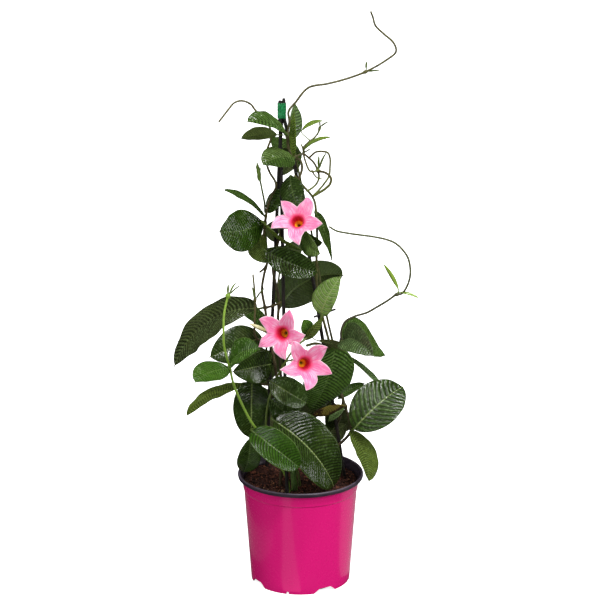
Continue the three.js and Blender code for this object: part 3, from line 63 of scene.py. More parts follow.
# Stems: points on the centre line, radius at the start and at the tip.
PATHS = {
    "left_vine": {"p": [[-24, -24, 112], [-24, -24, 127], [-20.7, -27, 184.4], [-25.3, -27, 234.5], [-29.9, -25, 277.3], [-36.9, -21, 313.1], [-41.5, -18, 345.3], [-44.9, -16, 366.7], [-42.6, -14, 384.4], [-39, -12, 398.4], [-40.1, -12, 414.2], [-42.4, -12, 432.4], [-40, -12, 455.4], [-37.7, -9, 467.8], [-33, -6, 479], [-28.4, -1, 487.2], [-29.6, 3, 493.3], [-35.4, 7, 501.8], [-38.9, 9, 510.9], [-40, 10, 522.6], [-37.7, 11, 532], [-34.2, 12, 542.5], [-35.3, 12, 554.4], [-42.2, 11, 567.8], [-51.6, 9, 575.7], [-57.1, 6, 584], [-67, 2, 589.3], [-76.1, -3, 588.2], [-82.5, -8, 581.9], [-88.9, -12, 574.4], [-93.4, -15, 569.1]], "r": [2, 1.1]},
    "left_branch": {"p": [[-27.2, -26.3, 252.3], [-45.3, -22, 252.7], [-59.4, -20, 257]], "r": [1.5, 1.3]},
    "centre_vine": {"p": [[-10, -8, 112], [-10, -8, 127], [-19.6, -8, 177.4], [-21.9, -6, 227], [-24.2, -8, 277.7], [-25.2, -9, 315.3], [-26.4, -9, 330.1], [-25.2, -8, 351.9], [-28.7, -7, 370], [-32.1, -6, 388], [-29.7, -6, 406.3], [-23.9, -7, 431], [-18, -9, 455.8], [-14.5, -10, 474.1], [-11, -11, 486.4], [-5.2, -11, 494.8], [0.6, -11, 506.8], [1.7, -11, 515.2], [-0.6, -10, 522.1], [-7.5, -8, 525.1], [-13.3, -7, 533.2], [-15, -7, 545.1], [-14.4, -7, 557], [-12.9, -7, 567.7], [-13.8, -6, 578.5], [-5.5, -3, 589.1], [9.1, 2, 604.8], [31.1, 6, 608.5], [49.4, 8, 612.8], [75, 8, 622.2], [100.3, 5, 637.9], [109.3, 3, 646.8], [106.5, 0, 657.8], [94.5, -4, 669.8], [85.3, -7, 679.8], [82.4, -9, 689.6], [80, -10, 696.2]], "r": [2, 1.1]},
    "right_vine": {"p": [[32, -2, 112], [32, -2, 127], [36.4, -1, 146.8], [42.3, -2, 165.6], [48.2, -2, 171.4], [54.1, -3, 178.1], [58.8, -3, 184.4], [61.2, -2, 190.3], [57.6, 3, 201.2], [52.9, 9, 214.1], [48.1, 13, 230.4], [42.1, 14, 257.7], [34.9, 14, 289], [27.7, 14, 317.6], [21.8, 13, 345.2], [18.8, 11, 370.5], [18.7, 8, 393.5], [19.3, 5, 415.2], [19.2, 3, 434.1], [18, 0, 455.6], [16.8, -2, 468.2], [13.3, -3, 476.9], [5.2, -4, 486.9], [-1.8, -3.5, 495.1], [-6.4, -2, 500.7]], "r": [1.9, 1.35]},
    "right_shoot": {"p": [[38.4, 8, 284.8], [43, 3, 291.4], [47.7, -3, 299.6], [47.6, -6, 311.8], [52.2, -6, 324.2], [63.4, -5, 330.7], [78, -3, 334.8], [89.2, -1, 340.7], [103.8, 0, 349.7], [112.7, 0, 356.2], [117.8, -1, 357.1], [122.6, -2, 362.7], [127.5, -3, 376], [128.2, -3, 388.8], [125.6, -2, 401.3], [118.9, -1, 411.5], [109.9, 1, 419.1], [99.8, 2, 422.9], [84.2, 4, 425.7], [70.8, 5, 427.3], [55.2, 7, 429], [41.9, 9, 431.3], [34.1, 10, 435.7]], "r": [1.4, 1.15]},
    "green_shoot": {"p": [[-1, -30, 112], [-1, -30, 127], [-3, -25.5, 142], [-10, -21.5, 158], [-20, -24, 170], [-32, -31.5, 182], [-40, -37, 198], [-40.5, -38, 213.5], [-39.3, -38, 226], [-36.9, -38, 238.4], [-33.4, -38, 250.8], [-28.7, -41, 264.3], [-22.8, -43, 278.6], [-16.9, -43, 288.4], [-11.1, -41, 297.6], [-4.1, -35, 304.2], [4.1, -27, 308.9], [13.4, -20, 317.7], [20.5, -17, 324.1], [24, -15, 332], [25.1, -14, 336]], "r": [1.6, 1.1]},
    "left_shoot": {"p": [[-13.5, -46.5, 112], [-13.5, -46.5, 127], [-15, -47, 140], [-22, -47, 156], [-33, -47, 171], [-44, -47, 183], [-52.2, -48, 192.2], [-50.4, -52, 203.6], [-59, -56, 220], [-70.5, -60, 246.2], [-78.5, -62, 269.1], [-81.8, -62, 285.1], [-85.2, -64, 299.3], [-88.5, -66, 315.8], [-88.9, -66, 334.1], [-88.3, -62, 351], [-86, -58, 363.1], [-83.7, -56, 372.1]], "r": [1.7, 1.3]},
    "second_shoot": {"p": [[-35.9, -21.9, 304.4], [-47.3, -28, 308], [-53.1, -31, 315.2], [-53.6, -32, 329], [-53, -31, 347], [-52.9, -30, 358.9], [-53.5, -30, 371.1], [-55.1, -30, 389.4]], "r": [1.4, 1.1]},
    "bud_stalk": {"p": [[-41.1, -15, 461.1], [-41.6, -17, 472.5], [-43.9, -19, 486.3], [-46.7, -20, 500.9]], "r": [1.2, 1.1]},
    "tangle_1": {"p": [[2.9, -9, 530.1], [9.8, -6, 523.4], [15.6, -3, 516.6], [20.2, -2, 506.7], [21.4, -2, 499.5], [19.1, -4, 492.9], [13.3, -8, 488], [7.5, -10, 484.9]], "r": [1.2, 1.2]},
    "tangle_2": {"p": [[2.9, -9, 530], [5.2, -12, 522.6], [7.5, -14, 516], [10.9, -13, 509.7], [15.6, -9, 508], [20.2, -4, 508.5]], "r": [1.1, 1.1]},
    "tangle_3": {"p": [[9.8, -6, 523.4], [13.2, -0.6, 525.4], [17.9, 6, 527.3], [26, 9, 527.1], [31.9, 11, 524.8], [34.2, 11, 518.8], [34.2, 9, 507.3], [33.1, 6, 498.5], [27.2, 2, 490], [20.3, -3, 483], [15.6, -6, 479]], "r": [1.15, 1.25]},
    "tangle_4": {"p": [[20.4, -2.4, 506.9], [29.4, -8, 506], [35.2, -9, 500.3], [34.1, -9, 493.1], [28.3, -8, 486.8], [19.1, -7, 480.5], [14.5, -6, 477.8]], "r": [1.4, 1.6]},
    "top_stem": {"p": [[-7.5, -12, 525.6], [-1.8, -11, 528.3], [2.9, -9, 530.1], [4, -7, 536.8], [9.8, -4, 541.9], [15.6, -1, 545.9], [20.2, 1, 551.3], [22.5, 2, 558.2]], "r": [1.4, 1]},
    "back_shoot_left": {"p": [[-12, 42, 112], [-12, 42, 127], [-22, 50, 165], [-34, 55, 205], [-41, 47, 250], [-38, 37, 300], [-28, 33, 350], [-22, 31, 400], [-20, 24, 440]], "r": [1.6, 1.1]},
    "back_shoot_right": {"p": [[26, 30, 112], [26, 30, 127], [36, 36, 160], [49, 30, 200], [50, 29, 240], [40, 31, 280], [29, 31, 330], [19, 29, 390], [10, 25, 440], [2, 21, 480], [-6, 19, 520], [-11, 18, 552]], "r": [1.6, 1.1]},
    "left_stub": {"p": [[-39, -12, 397.6], [-42.5, -13, 392], [-47.2, -14, 388.1]], "r": [1.3, 1.2]},
    "left_spur": {"p": [[-41.5, -18, 345.3], [-29.8, -14.5, 347.9], [-19.3, -13.5, 352.4]], "r": [1.5, 1.4]},
    "right_spur": {"p": [[34.9, 14, 282.7], [27.8, 11.5, 288.6], [17.1, 6, 293.5], [7.7, 2, 292.4]], "r": [1.6, 1.7]},
    "old_stem": {"p": [[-7, -39, 112], [-7, -39, 127], [-8.5, -34, 150], [-9, -27, 172]], "r": [4, 3.2]},
    "curl_1": {"p": [[3.4, -8, 533.5], [2.3, -8, 537], [0.6, -8, 540]], "r": [0.95, 0.8]},
    "curl_2": {"p": [[2.6, -9.1, 529.9], [7.5, -10, 533], [10.3, -10, 534.8]], "r": [0.95, 0.8]},
    "curl_3": {"p": [[13.3, -11, 509.8], [15, -11, 506.2], [19, -10, 501.1], [24.3, -9, 499.1]], "r": [0.95, 0.8]},
}
# Which stems and small leaves make up each node.
NODES = {
    "old_stem": {"parts": ["old_stem"], "young": [], "colour": "stem"},
    "left_vine": {"parts": ["left_vine", "left_branch", "second_shoot", "left_stub", "left_spur"], "young": ["Y8", "Y9"], "colour": "stem"},
    "centre_vine": {"parts": ["centre_vine"], "young": ["Y3", "Y4"], "colour": "stem"},
    "right_vine": {"parts": ["right_vine", "right_spur"], "young": ["L28", "L45", "L27"], "colour": "stem"},
    "right_shoot": {"parts": ["right_shoot"], "young": ["Y1", "Y2"], "colour": "shoot"},
    "green_shoot": {"parts": ["green_shoot"], "young": ["L19", "L20", "L21"], "colour": "shoot"},
    "left_shoot": {"parts": ["left_shoot"], "young": ["Y5", "Y6", "Y7"], "colour": "shoot"},
    "top_shoots": {"parts": ["top_stem", "tangle_1", "tangle_2", "tangle_3", "tangle_4", "curl_1", "curl_2", "curl_3"], "young": ["L3b", "L4", "L5", "Y10", "Y11", "Y12", "Y13"], "colour": "shoot"},
    "bud_stalk": {"parts": ["bud_stalk"], "young": [], "colour": "shoot"},
    "back_shoot_left": {"parts": ["back_shoot_left"], "young": ["BL1", "BL2", "BL3", "BL4", "BL5", "BL6", "BL7"], "colour": "stem"},
    "back_shoot_right": {"parts": ["back_shoot_right"], "young": ["BR1", "BR2", "BR3", "BR4", "BR5", "BR6", "BR7"], "colour": "stem"},
}
CANES = {
    "cane_right": [[59.36, 8.85, 82], [33.6, 5.41, 250], [7.54, 1.94, 420], [-7.8, -0.11, 520], [-19.24, -1.3, 571], [-19.24, -1.3, 592.9]],
    "cane_front": [[-14.97, -57.53, 82], [-17.89, -39.05, 250], [-20.85, -20.35, 420], [-22.59, -9.35, 520], [-23.76, -1.3, 571], [-23.76, -1.3, 590.4]],
    "cane_left": [[-41.4, 44.2, 100], [-36.36, 33.8, 250], [-28.83, 18.36, 420], [-24.4, 9.28, 520], [-21.5, 2.61, 571], [-21.5, 2.61, 588.9]],
}
PEG = [[16.4, -0.38, 328.7], [28, -0.38, 333.3], [40.5, -0.38, 337.9]]
BUNDLE = [[-23.76, -1.3], [-19.24, -1.3], [-21.5, 2.61]]
# Leaves: blade base x y z, heading, pitch, roll, length, width, bend, fold, sweep, twist, outline exponent, cup,
# the point on the stem the petiole grows from, stem radius.
LEAVES = {
    "top_front_1": [-7.5, -19.9, 527.1, 236.2, 24.3, 321.4, 65.1, 35.4, 32.4, 4.1, 19.7, 13.7, 0.95, 0.08, -7, -8.1, 524.7, 1.8],
    "top_front_2": [-15.6, -12.7, 552.5, 233.5, 50.5, 320.5, 71.7, 38.4, 54, 11.6, 14.3, 12.3, 0.91, 0.08, -14.9, -7, 550.8, 1.8],
    "upper_left_1": [-43.4, -12.2, 447, 238.7, -3.9, 287.9, 91.5, 49, -0.7, -0.9, -23.1, -8.7, 0.92, 0.08, -41.2, -12.2, 446.9, 1.9],
    "top_front_3": [-12.2, -11.4, 503.3, 272, -29.6, 19.7, 51.5, 28.9, 39.7, 10.2, 10.7, -2.4, 0.96, 0.08, -3.5, -11, 497.9, 1.8],
    "upper_front_1": [-41.2, -34.6, 420.8, 323.7, -18.9, 68.9, 71.4, 36.8, 57.4, 30.4, 11.8, -12.6, 0.99, 0.08, -40.1, -12, 414.2, 1.9],
    "middle_left_1": [-82, -61.6, 288.7, 288.2, 55, 74.9, 67.2, 37.1, 48.6, 20.5, -25.6, -3, 0.95, 0.08, -82.7, -62.4, 288.7, 1.5],
    "top_left_1": [-27.1, -6.8, 551.5, 159, 3.5, 54.8, 44.8, 23.7, 36.8, 13.2, -2.5, 0.8, 0.92, 0.08, -14.9, -7, 550.8, 1.8],
    "upper_front_2": [-44.5, -23.7, 451.6, 328.3, -40.1, 141.8, 60.6, 25.5, 25.3, 7, 0.8, -6.2, 0.93, 0.08, -41.1, -12.2, 447.5, 1.9],
    "middle_right_1": [49.5, -41.2, 311.9, 285.8, 36.7, 58.8, 79, 42.1, 55.5, 32.8, -42.6, 2, 0.87, 0.08, 47.7, -3, 299.6, 1.1],
    "middle_left_2": [-81.7, -61.9, 285.3, 213.2, 12.5, 332.6, 62.9, 35.2, 11.2, 9.4, 39.5, 12.1, 0.96, 0.08, -81.8, -62, 285.1, 1.5],
    "upper_front_3": [1.7, -15.1, 435.8, 278.6, -25.3, 75.9, 46, 25.5, 38.5, 11.4, 17.7, -2.4, 0.97, 0.08, -21.7, -7.7, 440.1, 1.8],
    "top_left_2": [-41.1, -12, 455.4, 194.2, 52.4, 353.7, 63.3, 28.6, 33.3, 10.3, 3.8, -4.9, 0.93, 0.08, -40, -12, 455.4, 1.9],
    "top_back_1": [-7.5, 5.2, 544.2, 66.4, 68.6, 61, 43.5, 20.5, 28.4, 8.5, -9.5, 5.1, 0.88, 0.08, -15, -7, 547.6, 1.8],
    "upper_front_4": [2.8, -4, 434.9, 289.1, -17.9, 114.8, 41.6, 22.5, 37.7, 11, 8.7, -2.6, 0.95, 0.08, -21.2, -7.8, 441.9, 1.8],
    "top_front_4": [-19.2, 1.2, 483.1, 213.2, -33.7, 325.7, 35.2, 19.6, 46.5, 15.8, 9.4, -4.4, 0.93, 0.08, -12, -10.8, 483.9, 1.8],
    "low_front_1": [-56.1, -75.8, 213.4, 313.9, -14.8, 35.3, 74.7, 42.7, 74.4, 25.5, 16.2, 5, 0.91, 0.08, -52, -53.2, 207.7, 1.5],
    "middle_right_2": [23.8, -23.8, 339.6, 297.8, 64.4, 113.7, 57.7, 36.8, 32.2, 33.8, -6.2, 3.6, 0.82, 0.08, 25.1, -14, 336, 1.6],
    "upper_left_2": [-45.1, 10.6, 424.6, 258.8, -5.2, 40.3, 56.8, 34.7, 47.9, 28, 8.9, 6.9, 0.92, 0.08, -42.4, -12, 431.1, 1.9],
    "upper_right_1": [16.8, -2.2, 457.4, 8, -59.3, 33.5, 70.4, 30.7, 26, 4, -1.4, -22.2, 0.85, 0.08, 17.9, -0.2, 457.1, 1.7],
    "middle_left_3": [-45.1, -18.4, 308.6, 219, 0.1, 304.1, 72, 47, 34.5, 17.3, 6.3, -7.2, 0.91, 0.08, -36.6, -21.2, 311.4, 1.9],
    "low_front_2": [-35.8, -45.5, 264.7, 331.7, -22.9, 49.9, 57.5, 35.7, 64.8, 21.2, 14.8, -2, 0.91, 0.08, -30.2, -40.1, 260.3, 1.6],
    "middle_left_4": [-33.4, -20.7, 277.2, 242.2, 13.9, 272.4, 64.1, 41.3, 43, 19.9, 18.7, -7.6, 0.86, 0.08, -30.2, -24.8, 279.2, 1.9],
    "low_front_3": [-35.8, -40.6, 240.6, 329, -36.3, 59.6, 49.6, 27.9, 48.7, 14.1, 6.9, -1.4, 0.92, 0.08, -36.7, -38, 239.6, 1.6],
    "low_front_4": [-30.9, -58.3, 219.9, 354.5, -30, 37.8, 125.1, 69, 55.2, 20.7, -7, 17.7, 0.78, 0.08, -22.5, -27.3, 210.1, 1.9],
    "middle_left_5": [-51.9, -18.4, 344.5, 153.3, -1.9, 345.8, 138.3, 77.9, 57.1, 3.2, 53.6, -21.2, 0.9, 0.08, -41.6, -17.9, 346, 1.9],
    "low_left_1": [-57.1, -20.2, 256.1, 266.9, -50.9, 352.6, 77.2, 45.9, 67.7, 16, 10, -3.8, 0.8, 0.08, -57.1, -20.3, 256.2, 1.3],
    "low_left_2": [-59.2, -49.4, 195, 276.1, -77.8, 358.9, 52.1, 29.2, 52.3, 16.8, -13.9, -3, 1.08, 0.08, -52.2, -48.3, 193, 1.5],
    "low_right_1": [40.3, -28.1, 300.8, 127.8, -80.9, 197.9, 107.4, 62.4, 32.8, 7.2, -10.4, -1.4, 0.77, 0.08, 41.5, 4.7, 289.1, 1.1],
    "low_left_3": [-67.9, -3.2, 247.2, 205.3, 6.3, 5.4, 92.1, 50.4, 46.3, -0.3, 18.6, 16, 0.89, 0.08, -59.4, -20, 257, 1.3],
    "dry": [52.6, -4.4, 218.5, 212.4, -9.6, 226.7, 44, 23.8, 20, -1.8, 10.2, 12.6, 0.94, 0.08, 53.1, 8.8, 213.6, 1.7],
    "low_right_3": [63.2, -16.9, 194.4, 355.2, 52.7, 69.2, 89.2, 59.3, 72.4, 17.8, -4.8, -0.3, 0.9, 0.08, 61.2, -2.3, 189.5, 1.7],
    "middle_right_3": [48.7, -3.7, 301.1, 32, 6.8, 54.8, 89.9, 56.8, 67.7, 7.9, -27.5, -29.5, 0.84, 0.08, 47.9, -3.6, 301.2, 1.1],
    "low_right_4": [59.6, -2.6, 188.1, 313.1, -32.9, 346.8, 75.5, 42.4, 24.8, 15.2, -26.1, -9.7, 0.93, 0.08, 61, -2.6, 188.2, 1.7],
    "middle_back_1": [-23.3, 24.5, 334.2, 68.5, 32, 215, 99.5, 55.4, 80.2, 33.2, 79.6, -11.2, 0.85, 0.08, -25.3, -8.4, 344.6, 1.8],
    "low_right_5": [51.7, 29.6, 272.3, 347.4, -27.3, 348.5, 72.4, 30.4, 26.1, 5.2, 5, 4.7, 0.93, 0.08, 38.4, 14.1, 274.2, 1.7],
}
YOUNG = {
    "L19": [11, -18.8, 313.6, 255.4, 46.3, 232.1, 27.7, 17, 26.7, 3.6, -5.7, -5.7, 0.97, 0.08, 10.4, -22, 314.8, 1.6],
    "L20": [4.1, -23.1, 307.5, 325.2, 44, 134.6, 38.7, 12.9, 38, 18.7, -4.2, -0.1, 0.88, 0.08, 4.1, -27, 308.9, 1.6],
    "L21": [20.4, -39, 312.3, 13.2, -11.6, 322.6, 43.7, 17.7, 27.6, 8.5, -5.8, -16, 0.98, 0.08, 10.8, -21.7, 315.2, 1.6],
    "L3b": [-8.6, -15.3, 528.2, 261.9, 74.8, 128.1, 58.7, 19.7, 14.2, 5.2, 13, -11.7, 0.88, 0.08, -7.5, -12, 525.6, 1.2],
    "L4": [1.6, 0.6, 555, 344.5, 45.7, 26.1, 28.6, 10.4, 42.4, 16.3, -2.8, -0.5, 0.91, 0.08, 11.2, -3.2, 543, 1.2],
    "L5": [4, -10.5, 535.3, 343.6, 46, 16, 36.9, 13.3, 40, 15.3, -1, -3.2, 0.91, 0.08, 3.5, -7.6, 534.9, 1.2],
    "Y10": [21.6, -3, 510.6, 330.1, 70.6, 0, 23.6, 4.6, 12, 25, 0, 0, 0.9, 0.05, 20.8, -3, 508.2, 0.9],
    "Y11": [20.6, -3, 511.2, 80.8, 74.4, 0, 15.2, 3, 8, 25, 0, 0, 0.9, 0.05, 20.8, -3, 508.2, 0.9],
    "Y12": [22.7, 2, 559.2, 180, 87.1, 0, 8.1, 4.2, 6, 25, 0, 0, 0.9, 0.05, 22.5, 2, 557, 0.8],
    "Y13": [23.6, 2, 559.4, 335, 41.9, 0, 11.5, 4.4, 16, 25, 0, 0, 0.9, 0.05, 22.5, 2, 557, 0.8],
    "L28": [51.7, 3.8, 215.9, 214.9, -29.5, 328.7, 27.4, 11.1, 34.9, 13.7, -8.3, 0.3, 0.92, 0.08, 52.9, 9, 214.1, 1.7],
    "L45": [53, 11.6, 190.5, 153.5, -54.7, 73.8, 33.4, 17.2, 40.4, 13.5, -2, 0.8, 0.93, 0.08, 59.2, 1, 197, 1.7],
    "L27": [44.6, 15.5, 220.7, 356.9, 45.8, 31.2, 39, 16.4, 37.2, 14.6, 0, 2.6, 0.93, 0.08, 49.5, 12.2, 224.6, 1.7],
    "Y8": [-53.8, -31, 362.3, 228.3, 80, 0, 15.6, 3.6, 10, 25, 0, 0, 0.9, 0.05, -52.9, -30, 358.9, 0.9],
    "Y9": [-51.5, -31, 361.7, 334.2, 58.4, 0, 18.6, 4, 14, 25, 0, 0, 0.9, 0.05, -52.9, -30, 358.9, 0.9],
    "Y3": [75.4, 8, 625.4, 286.3, 83.1, 0, 10.2, 3, 10, 25, 0, 0, 0.9, 0.05, 75, 8, 622.2, 0.75],
    "Y4": [78.1, 8, 622.8, 347.6, 13.4, 0, 14.1, 3.4, 15, 25, 0, 0, 0.9, 0.05, 75, 8, 622.2, 0.75],
    "Y1": [114.8, -1, 362.6, 171.2, 63.8, 76, 39, 6.5, 18, 25, 0, 0, 0.9, 0.05, 112.7, 0, 356.2, 0.75],
    "Y2": [117.1, -2, 359.8, 347.4, -9.3, 19, 23.8, 6, 14, 25, 0, 0, 0.9, 0.05, 112.7, 0, 356.2, 0.75],
    "Y5": [-83.7, -56, 373.9, 283.7, 84.1, 0, 14.2, 3.2, 5, 25, 0, 0, 0.9, 0.05, -83.7, -56, 372.1, 0.9],
    "Y6": [-81.4, -56, 375.1, 341.9, 47.8, 0, 17.5, 3.8, 12, 25, 0, 0, 0.9, 0.05, -83.7, -56, 372.1, 0.9],
    "Y7": [-81.9, -55, 376, 20.3, 60.1, 0, 15.2, 3.2, 10, 25, 0, 0, 0.9, 0.05, -83.7, -56, 372.1, 0.9],
    "BL1": [-20.4, 54.7, 175.6, 82, 41.2, 17, 89.8, 46.7, 39.3, 14, -13.7, -3.3, 0.92, 0.08, -22.9, 50.4, 168.1, 1.6],
    "BL2": [-39.8, 61.3, 212.2, 120.7, -19.2, 358.7, 88.8, 46.2, 47.1, 14, -18.9, 3.1, 0.92, 0.08, -35.2, 53.6, 212.9, 1.6],
    "BL3": [-34.9, 62.5, 212.6, 88, -17.8, 22.3, 95, 49.4, 67.6, 14, -15.8, 9.7, 0.92, 0.08, -35.3, 53.6, 213.1, 1.6],
    "BL4": [-41.8, 40.9, 298.9, 147.9, 49.6, 1.6, 70, 36.4, 61.3, 14, -16.6, -1.8, 0.92, 0.08, -38.6, 38.8, 290.8, 1.6],
    "BL5": [-40.5, 52.2, 269.3, 93.8, -13.9, 19.9, 89.7, 46.6, 68.5, 14, -22.5, -3, 0.92, 0.08, -39.9, 43.2, 269.1, 1.6],
    "BL6": [-21.5, 39.4, 399.6, 83.3, 8.5, 341.1, 66.3, 34.5, 74.6, 14, -0.1, -6.3, 0.92, 0.08, -22.5, 31.2, 396, 1.3],
    "BL7": [-23.1, 32.7, 438.4, 109.5, -16.3, 345.5, 55.7, 29, 62.3, 14, 10.3, -6.3, 0.92, 0.08, -20.1, 24.2, 438.6, 1.3],
    "BR1": [37.1, 43.5, 170, 99.9, -3.2, 32.8, 90.3, 47, 45.7, 14, 17.7, 6.2, 0.92, 0.08, 38.7, 34.8, 168.2, 1.6],
    "BR2": [49.4, 38.7, 200.4, 87.7, -27, 33.2, 82.1, 42.7, 45.3, 14, 1.7, 5.5, 0.92, 0.08, 49.1, 29.9, 202.3, 1.6],
    "BR3": [45.2, 37.2, 223.7, 119.4, -19.8, 4.9, 89.1, 46.3, 56.3, 14, 14.6, 3.7, 0.92, 0.08, 49.6, 29.4, 224.4, 1.6],
    "BR4": [-8.3, 27.5, 526.2, 96.6, -27.5, 13.4, 54.7, 28.4, 58.2, 14, 8.3, 3.7, 0.92, 0.08, -7.3, 18.7, 528.2, 1.3],
    "BR5": [38.9, 39.9, 280.1, 95.3, -23, 5.1, 85.7, 44.5, 72.9, 14, 5.2, -4, 0.92, 0.08, 39.7, 31, 281.4, 1.3],
    "BR6": [7.6, 30.1, 448.7, 111.5, 35.8, 25.3, 67, 34.9, 72.9, 14, -5.5, 5.9, 0.92, 0.08, 9.7, 24.8, 441.7, 1.3],
    "BR7": [-3.5, 22.5, 502, 141.9, 51.8, 344.6, 63.4, 33, 49.8, 14, -24, 5.1, 0.92, 0.08, -0.7, 20.3, 493.7, 1.3],
}
# Flowers: throat centre x y z, azimuth and elevation of the face, turn, radius, depth of the cup, bow of the tube.
FLOWERS = {
    "flower_top": [-3.2, -60, 462.4, -9.7, 36.2, 135.9, 31.2, 10.8, 16],
    "flower_left": [-20.6, -62, 328.5, -18.5, 14.7, 146.1, 30.7, 11.2, 0],
    "flower_right": [4.1, -78, 297.2, 17.3, 14.3, 114.2, 30.6, 16.1, 0],
}
PEDICELS = {
    "stalk_top": {"points": [[-16, -8.2, 456.8], [-8, -6, 459], [-0.5, -8, 457.5], [4.6, -14.6, 453.2], [3.4, -21.2, 450.3]], "r": 1, "sepal": 2.2},
    "stalk_left": {"points": [[-22.4, -9.2, 302], [-14, -9.5, 308], [-3.4, -10.6, 314.3], [-5.7, -17.4, 316.2]], "r": 1, "sepal": 2.2, "bud": {"stem": [[-14, -9.5, 308], [-24, -18, 309.5], [-33, -25.5, 314], [-39.2, -27, 319.3]], "tip": [[-39.2, -27, 319.3], [-48, -30.5, 325], [-59.4, -34.5, 331.6]]}},
    "stalk_right": {"points": [[-21.8, -10, 272], [-18, -15, 277.5], [-12, -26.2, 283.4], [-9.9, -33, 285.2]], "r": 1, "sepal": 2.2},
}
BUDS = [{"on": "bud_stalk", "a": [-46.7, -20.0, 499.7], "b": [-50.3, -22.0, 523.5], "r": 2.3}]


# ---------------------------------------------------------------- noise
def hashed(i, j, k, seed):
    h = np.sin(i * 127.1 + j * 311.7 + k * 74.7 + seed * 53.3) * 43758.5453
    return h - np.floor(h)


def noise(p, seed=0):
    """Smooth noise from -1 to 1 at points p (..., 3)."""
    p = np.asarray(p, float)
    i = np.floor(p)
    f = p - i
    f = f * f * (3 - 2 * f)
    out = 0
    for a in (0, 1):
        for b in (0, 1):
            for c in (0, 1):
                w = (f[..., 0] if a else 1 - f[..., 0]) * (f[..., 1] if b else 1 - f[..., 1]) * (f[..., 2] if c else 1 - f[..., 2])
                out = out + w * hashed(i[..., 0] + a, i[..., 1] + b, i[..., 2] + c, seed)
    return out * 2 - 1


def noise1(x, seed=0):
    x = np.asarray(x, float)
    return noise(np.stack([x, x * 0 + 0.5, x * 0 + seed * 1.37], -1), seed)


def smooth(a, b, x):
    t = np.clip((x - a) / (b - a), 0, 1)
    return t * t * (3 - 2 * t)


def unit(v):
    return v / np.maximum(np.linalg.norm(v, axis=-1, keepdims=True), 1e-12)


def turn(v, axis, a):
    return v * math.cos(a) + np.cross(axis, v) * math.sin(a) + axis * np.dot(axis, v) * (1 - math.cos(a))


# ---------------------------------------------------------------- pieces
ATTRIBUTES = ("pa", "pb", "pc", "pd", "pe")


class Piece:
    """The geometry of one piece, gathered part by part."""

    def __init__(self, name):
        self.name = name
        self.v, self.f, self.m, self.s = [], [], [], []
        self.a = {k: [] for k in ATTRIBUTES}
        self.n = 0

    def add(self, verts, faces, mat=0, sharp=False, **attributes):
        verts = np.asarray(verts, float).reshape(-1, 3)
        self.v.append(verts)
        for k in ATTRIBUTES:
            value = np.asarray(attributes.get(k, (0, 0, 0)), float)
            self.a[k].append(np.broadcast_to(value, (len(verts), 3)))
        mats = np.broadcast_to(np.asarray(mat), (sum(len(g) for g in faces),)) if np.ndim(mat) else None
        at = 0
        for g in faces:
            g = np.asarray(g, int)
            if not len(g):
                continue
            self.f.extend((g + self.n).tolist())
            self.m.extend(mats[at : at + len(g)].tolist() if mats is not None else [int(mat)] * len(g))
            self.s.extend([not sharp] * len(g))
            at += len(g)
        self.n += len(verts)

    def build(self, materials, replaces=(), angle=None):
        me = bpy.data.meshes.new(self.name)
        me.from_pydata((np.vstack(self.v) * MM).tolist(), [], self.f)
        for m in materials:
            me.materials.append(m)
        me.polygons.foreach_set("material_index", self.m)
        me.polygons.foreach_set("use_smooth", self.s)
        for k in ATTRIBUTES:
            values = np.vstack(self.a[k]).astype(np.float32)
            if np.any(values):
                made = me.attributes.new(k, "FLOAT_VECTOR", "POINT")
                made.data.foreach_set("vector", values.ravel())
        if angle:
            me.set_sharp_from_angle(angle=angle * RAD)
        me.update()
        return settle(bpy.data.objects.new(self.name, me), replaces)


def settle(ob, replaces=()):
    if not ob.users_collection:
        bpy.context.scene.collection.objects.link(ob)
    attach(ob, "root")
    if replaces:
        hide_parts(*replaces)
    return ob


# ---------------------------------------------------------------- curves and tubes
def curve(points, spacing):
    """Evenly spaced points on a centripetal Catmull-Rom curve."""
    p = np.array(points, float)
    p = np.vstack([2 * p[0] - p[1], p, 2 * p[-1] - p[-2]])
    dense = [p[1]]
    for k in range(1, len(p) - 2):
        x0, x1, x2, x3 = p[k - 1 : k + 3]
        d0, d1, d2 = (np.sum((b - a) ** 2) ** 0.25 for a, b in ((x0, x1), (x1, x2), (x2, x3)))
        d1 = d1 if d1 > 1e-4 else 1.0
        d0 = d0 if d0 > 1e-4 else d1
        d2 = d2 if d2 > 1e-4 else d1
        t1 = ((x1 - x0) / d0 - (x2 - x0) / (d0 + d1) + (x2 - x1) / d1) * d1
        t2 = ((x2 - x1) / d1 - (x3 - x1) / (d1 + d2) + (x3 - x2) / d2) * d1
        t = (np.arange(1, 17) / 16)[:, None]
        dense.extend(x1 + t1 * t + (-3 * x1 + 3 * x2 - 2 * t1 - t2) * t**2 + (2 * x1 - 2 * x2 + t1 + t2) * t**3)
    return spaced(np.array(dense), spacing)


def spaced(dense, spacing):
    along = np.concatenate([[0], np.cumsum(np.linalg.norm(np.diff(dense, axis=0), axis=1))])
    n = max(2, int(round(along[-1] / spacing)))
    at = np.linspace(0, along[-1], n + 1)
    return np.stack([np.interp(at, along, dense[:, i]) for i in range(3)], 1)


def frames(pts):
    """Tangents and two side directions that turn as little as they can."""
    t = unit(np.gradient(pts, axis=0))
    n = np.zeros_like(t)
    first = np.cross([0.31, 0.87, 0.38], t[0])
    n[0] = first / np.linalg.norm(first)
    for i in range(1, len(t)):
        v = n[i - 1] - t[i] * np.dot(n[i - 1], t[i])
        n[i] = v / np.linalg.norm(v)
    return t, n, np.cross(t, n)


